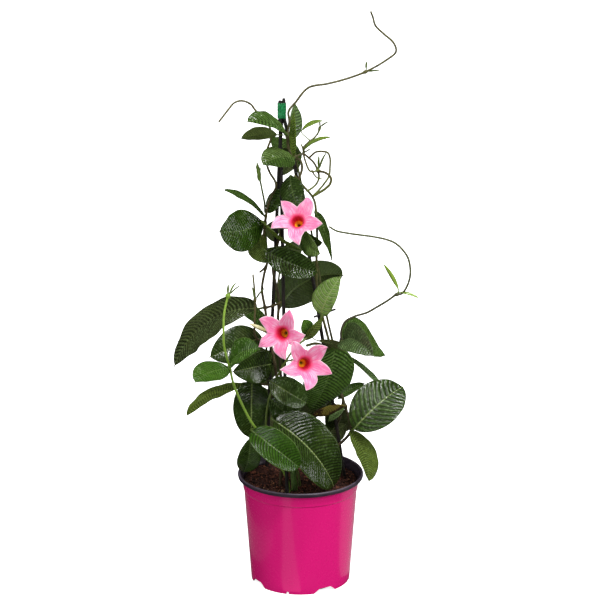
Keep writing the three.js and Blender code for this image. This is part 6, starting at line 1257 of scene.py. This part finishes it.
def make_flower(name, f, seed):
    c, n, s, u = flower_frame(f)
    ro, R, dz, lift = f[5] * RAD, f[6], f[7], f[8]
    k = R / 31.0
    rng = np.random.default_rng(seed)
    p = Piece(name.replace("flower_", "corolla_"))

    def at(x, y, d):
        return c + x[..., None] * s + y[..., None] * u + d[..., None] * n

    NS, NT = 58, 41
    ss = np.linspace(0, 1, NS + 1)

    def along(edge, q):
        d = np.concatenate([[0], np.cumsum(np.linalg.norm(np.diff(edge, axis=0), axis=1))])
        return np.stack([np.interp(q * d[-1], d, edge[:, 0]), np.interp(q * d[-1], d, edge[:, 1])], -1)

    def edge_line(pts, tip, lap):
        """From the throat past the notch to the tip; lap turns the inner end over or under the neighbour."""
        notch = complex(*pts[0])
        way = notch / abs(notch)
        go = lambda r, deg: way * r * complex(math.cos(deg * RAD), math.sin(deg * RAD))
        z = [go(6.5, lap * 5), go(9.5, lap * 4.5), go(abs(notch) * 0.96, lap * 2.5)] + [complex(*q) for q in pts[1:]] + [complex(*tip)]
        return curve([(q.real, q.imag, 0) for q in z], 0.4)[:, :2]

    for petal, outline_ in enumerate(PETALS[name]):
        wob = rng.uniform(-1, 1, 6)
        a_, b_ = (along(edge_line(outline_[e], outline_["tip"], lap), ss) for e, lap in (("cw", -1), ("ccw", 1)))
        tt = np.linspace(0, 1, NT)
        X = a_[:, None, 0] * (1 - tt) + b_[:, None, 0] * tt
        Y = a_[:, None, 1] * (1 - tt) + b_[:, None, 1] * tt
        # near the throat the cross lines are arcs round it
        r_row = np.hypot(*a_.T)[:, None] * (1 - tt) + np.hypot(*b_.T)[:, None] * tt
        grow = 1 + (r_row / np.hypot(X, Y) - 1) * (1 - smooth(0.1, 0.55, ss))[:, None]
        X, Y = X * grow, Y * grow
        r = np.hypot(X, Y)
        T = (tt * 2 - 1)[None] * np.ones((NS + 1, 1))
        S = ss[:, None] * np.ones((1, NT))
        q = np.clip((r - 6.8) / (R - 6.8), 0, 1.15)
        d = dz * q**0.8
        d = d + np.where(r < 6.8, (r - 6.8) * 0.9, 0)
        # each petal laps over its neighbour on one side, arches across and curls back at the tip
        d = d + 0.55 * T * smooth(0.02, 0.3, S) + (0.9 + 0.3 * wob[2]) * (1 - T**2) * S**0.8 * 1.1 - (1.1 + 0.5 * wob[3]) * smooth(0.62, 1.0, S) * 1.4
        d = d + 0.45 * np.sin(5.2 * S + 2.2 * T + 3 * wob[4]) * S * np.abs(T) ** 1.5
        ripple = noise(np.stack([T * 2.4, S * 2.0, T * 0 + petal * 3.3 + seed], -1), seed) * 0.35 * S
        pleat = 0.10 * np.cos(T * 8.5) * smooth(0.1, 0.4, S) * (1 - smooth(0.75, 1.0, S))
        d = d + ripple + pleat
        P = at(X, Y, d)
        du, dv = np.gradient(P, axis=0), np.gradient(P, axis=1)
        N = unit(np.cross(du, dv))
        N = N * np.sign(np.sum(N[NS // 2, NT // 2] * n))
        N[-1] = N[-2]
        edge_mm = np.minimum(np.abs(1 - np.abs(T)) * np.linalg.norm(b_ - a_, axis=1)[:, None] * 0.5, (1 - S) * 26)
        thick = 0.42 * np.sqrt(np.clip(1 - np.abs(T) ** 10, 0, 1)) * np.sqrt(np.clip((1 - S) * 14, 0, 1))
        top, low = P + N * (thick / 2)[..., None], P - N * (thick / 2)[..., None]
        rows = NS
        ti = np.arange(rows)[:, None] * NT + np.arange(NT)[None]
        base_b = rows * NT
        ni = NT - 2
        bi = np.concatenate([ti[:, :1], base_b + np.arange(rows)[:, None] * ni + np.arange(ni)[None], ti[:, -1:]], 1)
        tip = base_b + rows * ni
        verts = np.vstack([top[:rows].reshape(-1, 3), low[:rows, 1:-1].reshape(-1, 3), P[-1, NT // 2][None]])
        good = np.dot(np.cross(top[8, 21] - top[8, 20], top[9, 20] - top[8, 20]), N[8, 20]) > 0

        def quad(g, forward):
            z = np.stack([g[:-1, :-1], g[:-1, 1:], g[1:, 1:], g[1:, :-1]], -1).reshape(-1, 4)
            return z if forward else z[:, ::-1]

        fan_t = np.stack([ti[-1, :-1], ti[-1, 1:], np.full(NT - 1, tip)], -1)
        fan_b = np.stack([bi[-1, 1:], bi[-1, :-1], np.full(NT - 1, tip)], -1)
        heel = np.stack([ti[0, 1:-2], bi[0, 1:-2], bi[0, 2:-1], ti[0, 2:-1]], -1)
        ends = np.array([[ti[0, 0], bi[0, 1], ti[0, 1]], [ti[0, -1], ti[0, -2], bi[0, -2]]])
        if not good:
            fan_t, fan_b, heel, ends = fan_t[:, ::-1], fan_b[:, ::-1], heel[:, ::-1], ends[:, ::-1]

        def both(z):
            return np.vstack([z[:rows].reshape(-1, 3), z[:rows, 1:-1].reshape(-1, 3), z[-1, NT // 2][None]])

        pa = both(np.stack([r, T, S], -1))
        pb = np.stack([np.full_like(T, 0.0), np.full_like(T, petal + seed * 1.7), edge_mm], -1)
        pb_low = pb.copy()
        pb_low[..., 0] = 1.0
        pbv = np.vstack([pb[:rows].reshape(-1, 3), pb_low[:rows, 1:-1].reshape(-1, 3), pb[-1, NT // 2][None]])
        p.add(verts, [np.vstack([quad(ti, good), quad(bi, not good), heel]), np.vstack([fan_t, fan_b, ends])], 0, pa=pa, pb=pbv)
    # the tube: outside from the petals down to the stalk, inside down the throat
    prof_out = [(7.3, 0.35), (7.0, -1.6), (6.7, -4.5), (5.9, -8.5), (4.7, -13.5), (3.6, -19.0), (2.8, -26.0), (2.2, -33.0), (1.95, -40.0), (1.75, -48.0)]
    prof_in = [(0.3, -15.6), (0.9, -14.2), (1.4, -12.9), (2.1, -11.9), (3.1, -11.1), (4.1, -10.2), (4.8, -9.1), (5.1, -7.6), (5.45, -5.6), (6.0, -3.2), (6.6, -1.2), (7.1, 0.3)]
    na = 60
    ang = np.arange(na) / na * 2 * math.pi

    def ring(r, d):
        return points_at(r, d, ang)

    def points_at(r, d, a):
        q = ro + a
        v = c + (np.cos(q)[:, None] * s + np.sin(q)[:, None] * u) * np.asarray(r)[..., None] + n * d
        if d < -14:
            v = v + np.array([0, 0, lift * ((-14 - d) / 34) ** 2])
        return v

    def shell(profile, mat, sign):
        dense = curve([(r * k if d > -30 else r, d, 0) for r, d in profile], 0.7)[:, :2]
        five = 1 + 0.035 * np.cos(5 * ang)[None] * smooth(-14, -2, dense[:, 1])[:, None]
        vs = np.vstack([ring(r * five[i], d) for i, (r, d) in enumerate(dense)])
        m = len(dense)
        i, kk = np.meshgrid(np.arange(m - 1), np.arange(na), indexing="ij")
        q = np.stack([i * na + kk, i * na + (kk + 1) % na, (i + 1) * na + (kk + 1) % na, (i + 1) * na + kk], -1).reshape(-1, 4)
        pa_ = np.stack([np.repeat(dense[:, 0], na), np.tile(ang / (2 * math.pi), m), np.repeat(-dense[:, 1], na)], -1)
        return vs, q if sign > 0 else q[:, ::-1], pa_, m

    vo, qo, pao, mo = shell(prof_out, 0, 1)
    vi, qi, pai, mi = shell(prof_in, 0, 1)
    verts = np.vstack([vi, vo, points_at(np.zeros(1), -16.0, np.zeros(1)), points_at(np.zeros(1), -48.4, np.zeros(1))])
    off = len(vi)
    kk = np.arange(na)
    lip = np.stack([(mi - 1) * na + kk, (mi - 1) * na + (kk + 1) % na, off + (kk + 1) % na, off + kk], -1)
    deep, foot = len(vi) + len(vo), len(vi) + len(vo) + 1
    caps = np.vstack([np.stack([kk * 0 + deep, (kk + 1) % na, kk], -1), np.stack([kk * 0 + foot, off + (mo - 1) * na + kk, off + (mo - 1) * na + (kk + 1) % na], -1)])
    quads = np.vstack([qi, lip, qo + off])
    mats = np.concatenate([np.full(len(qi) + len(lip), 1), np.full(len(qo), 2), np.full(na, 1), np.full(na, 2)])
    pa_ = np.vstack([pai, pao, [[0, 0, 16.0], [0, 0, 48.4]]])
    # outward or inward: the throat's faces look up the axis
    test = np.cross(vi[na * 5 + 1] - vi[na * 5], vi[na * 6] - vi[na * 5])
    inward = c + n * (-10) - vi[na * 5]
    if np.dot(test, inward) < 0:
        quads, caps = quads[:, ::-1], caps[:, ::-1]
    p.add(verts, [quads, caps], mats, pa=pa_)
    p.build([PETAL, THROAT, TUBE], [name])


def sepals(piece, point, d, r, seed, length=6.0, mat=0, colour=(0.12, 0.15, 0.035)):
    """Five narrow pointed sepals round the foot of a tube."""
    rng = np.random.default_rng(seed)
    side = unit(np.cross(d, [0.3, 0.2, 0.93]))
    other = np.cross(d, side)
    for i in range(5):
        a = i * 72 * RAD + 0.3
        out = side * math.cos(a) + other * math.sin(a)
        L = length * rng.uniform(0.85, 1.15)
        pts = np.array([point - d * 2.5 + out * r * 0.55, point - d * 0.8 + out * r * 0.95, point + d * L * 0.35 + out * r * 1.15, point + d * L * 0.75 + out * r * 1.35, point + d * L + out * r * 1.7])
        c = curve(pts, 0.7)
        q = np.linspace(0, 1, len(c))
        tube(piece, c, 0.75 * np.sin(np.clip(q, 0.02, 0.97) * math.pi) ** 0.6 + 0.12, 8, mat, start="round", end="round", pc=tuple(np.array(colour) * rng.uniform(0.8, 1.3)), oval=0.5)


def make_stalks():
    for i, (name, d) in enumerate(PEDICELS.items()):
        p = Piece(name.replace("stalk", "pedicel"))
        pts = curve(d["points"], 1.2)
        m = len(pts)
        q = np.linspace(0, 1, m)
        r = d["r"] * (1 + 0.25 * np.exp(-((q / 0.06) ** 2))) + (d["sepal"] - d["r"]) * 0.75 * smooth(0.86, 1.0, q)
        tube(p, pts, r, 10, 0, start="round", end="round", rough=0.03, seed=i + 40, pc=(0.13, 0.19, 0.045))
        e = pts[-1]
        dirn = unit(np.array(d["points"][-1], float) - np.array(d["points"][-2], float))
        sepals(p, e, dirn, d["sepal"] * 0.8, 50 + i)
        if "bud" in d:
            c = curve(d["bud"]["stem"], 1.0)
            tube(p, c, np.linspace(0.85, 1.0, len(c)), 8, 0, start="round", end="round", pc=(0.12, 0.12, 0.035))
            b = curve(d["bud"]["tip"], 0.7)
            q = np.linspace(0, 1, len(b))
            r = np.interp(q, [0, 0.08, 0.3, 0.55, 0.8, 0.95, 1.0], [1.3, 1.9, 2.6, 2.5, 1.7, 0.8, 0.3])
            tube(p, b, r, 14, 1, start="round", end="round", rough=0.03, seed=60)
            sepals(p, b[0], unit(b[1] - b[0]), 1.4, 61, 4.0, 0, (0.10, 0.06, 0.03))
        p.build([SHOOT, BUD], [name])


# ---------------------------------------------------------------- stems
STEM_LOOK = {
    'default': ((0.07, 0.055, 0.024), (0.085, 0.105, 0.026), 0.2, 0.8),
    'old_stem': ((0.075, 0.14, 0.024), (0.082, 0.16, 0.027), 0, 1),
    'left_vine': ((0.06, 0.042, 0.02), (0.11, 0.1, 0.03), 0.2, 0.9),
    'centre_vine': ((0.055, 0.042, 0.02), (0.105, 0.1, 0.032), 0.3, 0.9),
    'right_vine': ((0.07, 0.056, 0.026), (0.115, 0.12, 0.032), 0.2, 0.9),
    'right_shoot': ((0.058, 0.055, 0.028), (0.095, 0.11, 0.038), 0.2, 0.95),
    'green_shoot': ((0.1, 0.14, 0.03), (0.13, 0.18, 0.04), 0.2, 0.9),
    'left_shoot': ((0.12, 0.2, 0.025), (0.22, 0.36, 0.045), 0.0, 0.8),
    'bud_stalk': ((0.045, 0.055, 0.018), (0.085, 0.13, 0.03), 0.2, 0.9),
    'top_stem': ((0.075, 0.07, 0.024), (0.11, 0.14, 0.032), 0.2, 0.9),
    'tangle_1': ((0.085, 0.07, 0.026), (0.135, 0.165, 0.036), 0.2, 0.9),
    'tangle_2': ((0.085, 0.07, 0.026), (0.135, 0.165, 0.036), 0.2, 0.9),
    'tangle_3': ((0.085, 0.07, 0.026), (0.135, 0.165, 0.036), 0.2, 0.9),
    'tangle_4': ((0.085, 0.07, 0.026), (0.135, 0.165, 0.036), 0.2, 0.9),
    'curl_1': ((0.085, 0.07, 0.026), (0.135, 0.165, 0.036), 0.2, 0.9),
    'curl_2': ((0.085, 0.07, 0.026), (0.135, 0.165, 0.036), 0.2, 0.9),
    'curl_3': ((0.085, 0.07, 0.026), (0.135, 0.165, 0.036), 0.2, 0.9),
}


def make_stems():
    for ni, (name, d) in enumerate(NODES.items()):
        p = Piece(name.replace("_shoot", "_stem") if name.endswith("shoot") else name + "_body")
        for k, part in enumerate(d["parts"]):
            path = PATHS[part]
            r0, r1 = path["r"]
            spacing = 1.1 if r0 < 1.2 else 1.5
            if name.startswith("back") or name == "left_vine" or name == "centre_vine" or name == "right_vine":
                spacing = 1.9
            pts = curve(path["p"], spacing)
            m = len(pts)
            q = np.linspace(0, 1, m)
            r = r0 + (r1 - r0) * q
            length = spacing * m
            # swollen rings where leaves join
            rng = np.random.default_rng(ni * 13 + k)
            rows_ = [YOUNG[y] for y in d["young"]] + [row for row in LEAVES.values() if True]
            for row in rows_:
                foot = np.array(row[14:17], float)
                dist = np.linalg.norm(pts - foot, axis=1)
                j = int(np.argmin(dist))
                if dist[j] < 3.2:
                    r = r + 0.38 * r[j] * np.exp(-(((np.arange(m) - j) * spacing / 2.2) ** 2))
            look = STEM_LOOK.get(part, STEM_LOOK.get(name, STEM_LOOK["default"]))
            sides = 10 if r0 < 1.3 else 12
            start = 0
            at = np.concatenate([[0], np.cumsum(np.linalg.norm(np.diff(pts, axis=0), axis=1))])
            c0, c1 = np.array(look[0]), np.array(look[1])
            before = p.n
            tube(p, pts, r, sides, 0, start="round", end="round", rough=0.05, seed=ni * 7 + k, pc=tuple(look[0]))
            # the colour turns from the old wood at the foot to the green tip
            share = p.a["pa"][-1][:, 2:3]
            p.a["pc"][-1] = c0 + (c1 - c0) * np.clip((share - look[2]) / max(look[3] - look[2], 1e-6), 0, 1)
        for i, y in enumerate(d["young"]):
            leaf(p, y, YOUNG[y], (1, 2, 3), fused=True, step=1.3 if y[0] == "B" else 0.8, seed=ni * 31 + i * 7 + 5)
        for b in BUDS:
            if b["on"] != name:
                continue
            a0, a1 = np.array(b["a"], float), np.array(b["b"], float)
            c = curve([a0, (a0 + a1) / 2 + [0.3, 0, 0], a1], 0.6)
            q = np.linspace(0, 1, len(c))
            r = b["r"] * np.interp(q, [0, 0.1, 0.3, 0.5, 0.7, 0.88, 1.0], [0.45, 0.75, 1.0, 1.0, 0.8, 0.42, 0.12])
            tube(p, c, r, 14, 0, start="round", end="round", rough=0.06, seed=71, pc=(0.14, 0.23, 0.04))
            # scales that stand off the bud
            axis = unit(a1 - a0)
            side = unit(np.cross(axis, [0, 1, 0.2]))
            other = np.cross(axis, side)
            rng = np.random.default_rng(8)
            for j in range(7):
                ang = j * 2.4
                h = 0.05 + 0.11 * j
                o = side * math.cos(ang) + other * math.sin(ang)
                base = a0 + (a1 - a0) * h
                rr = b["r"] * np.interp(h, [0, 0.3, 0.5, 0.9], [0.7, 1.0, 1.0, 0.4])
                pts = curve([base + o * rr * 0.8, base + axis * 3 + o * (rr + 0.5), base + axis * 6.5 + o * (rr * 0.8 + 0.9)], 0.6)
                qq = np.linspace(0, 1, len(pts))
                tube(p, pts, 0.75 * (1 - qq) ** 0.7 + 0.08, 7, 0, start="round", end="round", pc=(0.17, 0.26, 0.05), oval=0.5)
        green = d["colour"] == "shoot"
        p.build([SHOOT if green else VINE, LEAF_TOP, LEAF_LOW, PETIOLE], [name])


def make_leaves():
    for i, (name, (key, row)) in enumerate(LEAF_NODES.items()):
        p = Piece(name.replace("leaf_", "blade_"))
        dry = name == "leaf_dry"
        leaf(p, key, row, (0, 1, 2), step=LEAF_STEP.get(key, 1.2), seed=200 + i * 17)
        mats = [DRY, DRY, DRY] if dry else [LEAF_TOP, LEAF_LOW, PETIOLE]
        p.build(mats, [name])


LEAF_NODES = {name: (key, LEAVES[key]) for name, key in {"leaf_top_front_1": "top_front_1", "leaf_top_front_2": "top_front_2", "leaf_upper_left_1": "upper_left_1", "leaf_top_front_3": "top_front_3", "leaf_upper_front_1": "upper_front_1", "leaf_middle_left_1": "middle_left_1", "leaf_top_left_1": "top_left_1", "leaf_upper_front_2": "upper_front_2", "leaf_middle_right_1": "middle_right_1", "leaf_middle_left_2": "middle_left_2", "leaf_upper_front_3": "upper_front_3", "leaf_top_left_2": "top_left_2", "leaf_top_back_1": "top_back_1", "leaf_upper_front_4": "upper_front_4", "leaf_top_front_4": "top_front_4", "leaf_low_front_1": "low_front_1", "leaf_middle_right_2": "middle_right_2", "leaf_upper_left_2": "upper_left_2", "leaf_upper_right_1": "upper_right_1", "leaf_middle_left_3": "middle_left_3", "leaf_low_front_2": "low_front_2", "leaf_middle_left_4": "middle_left_4", "leaf_low_front_3": "low_front_3", "leaf_low_front_4": "low_front_4", "leaf_middle_left_5": "middle_left_5", "leaf_low_left_1": "low_left_1", "leaf_low_left_2": "low_left_2", "leaf_low_right_1": "low_right_1", "leaf_low_left_3": "low_left_3", "leaf_dry": "dry", "leaf_low_right_3": "low_right_3", "leaf_middle_right_3": "middle_right_3", "leaf_low_right_4": "low_right_4", "leaf_middle_back_1": "middle_back_1", "leaf_low_right_5": "low_right_5"}.items()}
LEAF_STEP = {}

make_pot()
make_soil()
make_canes()
make_tie()
make_stems()
make_stalks()
for i_, (n_, f_) in enumerate(FLOWERS.items()):
    make_flower(n_, f_, 11 + i_)
make_leaves()

# ---------------------------------------------------------------- studio
def floor_material():
    m = Mat("studio_floor", IOR=1.45, Specular_IOR_Level=0.2)
    cloud = m.noise(1.2, 2, 0.5)
    base = m.mix(m.step(cloud, 0.3, 0.7), (0.80, 0.80, 0.80), (0.84, 0.84, 0.84))
    m.b.inputs["Emission Color"].default_value = (1, 1, 1, 1)
    m.b.inputs["Emission Strength"].default_value = 0.86
    return m.finish(base, 0.75)


floor_mesh = bpy.data.meshes.new("floor")
ring_ = [(8 * math.cos(q * math.pi / 64), 8 * math.sin(q * math.pi / 64), 0.0) for q in range(128)]
floor_mesh.from_pydata(ring_, [], [list(range(128))])
floor_mesh.materials.append(floor_material())
floor = bpy.data.objects.new("studio_floor", floor_mesh)
bpy.context.scene.collection.objects.link(floor)
floor.visible_glossy = False
floor.visible_diffuse = False

world = bpy.data.worlds.new("studio")
bpy.context.scene.world = world
world.use_nodes = True
wt = world.node_tree
bg = wt.nodes["Background"]
tc = wt.nodes.new("ShaderNodeTexCoord")
sep = wt.nodes.new("ShaderNodeSeparateXYZ")
ramp = wt.nodes.new("ShaderNodeMapRange")
wt.links.new(tc.outputs["Generated"], sep.inputs[0])
wt.links.new(sep.outputs[2], ramp.inputs["Value"])
for k_, v_ in (("From Min", -0.15), ("From Max", 0.9), ("To Min", 0.3), ("To Max", 0.72)):
    ramp.inputs[k_].default_value = v_
wt.links.new(ramp.outputs[0], bg.inputs["Strength"])
bg.inputs["Color"].default_value = (1.0, 1.0, 1.0, 1)
world.cycles_visibility.glossy = False


def softbox(name, at, target, width, height, power, colour=(1, 1, 1)):
    light = bpy.data.lights.new(name, "AREA")
    light.shape, light.size, light.size_y, light.energy, light.color = "RECTANGLE", width, height, power, colour
    ob = bpy.data.objects.new(name, light)
    ob.location = at
    ob.rotation_euler = (Vector(target) - Vector(at)).to_track_quat("-Z", "Y").to_euler()
    ob.visible_glossy = not name.startswith(("back", "low"))
    bpy.context.scene.collection.objects.link(ob)


def floor_card(name, at, width, depth, yaw, glow, shape="ELLIPSE"):
    """A faint lit card that lies on the floor, out of the camera's sight, and shows only as a soft band in the gloss of the pot."""
    light = bpy.data.lights.new(name, "AREA")
    light.shape, light.size, light.size_y, light.energy = shape, width, depth, glow * math.pi * width * depth
    ob = bpy.data.objects.new(name, light)
    ob.location = at
    ob.rotation_euler = (math.pi, 0, yaw * RAD)
    ob.visible_camera = False
    bpy.context.scene.collection.objects.link(ob)


softbox("key", (1.30, -1.75, 1.75), (0, 0, 0.35), 0.40, 0.60, 22)
softbox("fill", (-1.7, -1.7, 1.2), (0, 0, 0.30), 0.22, 0.6, 8)
softbox("top", (-0.15, -0.35, 2.3), (0, 0, 0.35), 0.35, 0.35, 9)
softbox("side_right", (1.75, -0.45, 0.45), (0, 0, 0.20), 0.20, 0.7, 6)
softbox("side_left", (-1.75, -0.55, 0.45), (0, 0, 0.20), 0.15, 0.7, 2.5)
softbox("back_left", (-1.25, 1.75, 1.35), (0, 0, 0.35), 0.45, 0.8, 15)
softbox("back_right", (1.35, 1.65, 1.05), (0, 0, 0.30), 0.45, 0.8, 15)
softbox("low_front", (0.60, -2.4, 0.16), (0, 0, 0.10), 0.8, 0.25, 3.2)
softbox("strip", (-0.85, -2.3, 0.55), (0, 0, 0.12), 0.10, 0.9, 1.6)
sun = bpy.data.lights.new("high_window", "SUN")
sun.energy, sun.angle = 1.5, 7 * RAD
sun_ob = bpy.data.objects.new("high_window", sun)
sun_ob.rotation_euler = Vector((0.25, -0.55, 1.15)).to_track_quat("Z", "Y").to_euler()
bpy.context.scene.collection.objects.link(sun_ob)
floor_card("card_front", (-0.104, -0.225, 0.004), 0.070, 0.40, -30, 0.23)
floor_card("card_right", (0.265, 0.150, 0.004), 0.40, 0.36, 0, 0.30, "RECTANGLE")
floor_card("card_left", (-0.150, 0.060, 0.004), 0.10, 0.36, 0, 0.09)

camera = bpy.data.cameras.new("camera")
camera.lens, camera.sensor_width, camera.sensor_fit = 187.94, 36.0, "HORIZONTAL"
camera.clip_start, camera.clip_end = 0.1, 60.0
eye = bpy.data.objects.new("camera", camera)
eye.location = (-0.0006, -3.5, 1.4687)
eye.rotation_euler = (Vector((-0.0006, 0, 0.34935)) - Vector(eye.location)).to_track_quat("-Z", "Y").to_euler()
bpy.context.scene.collection.objects.link(eye)
bpy.context.scene.camera = eye
bpy.context.scene.view_settings.view_transform = "Standard"
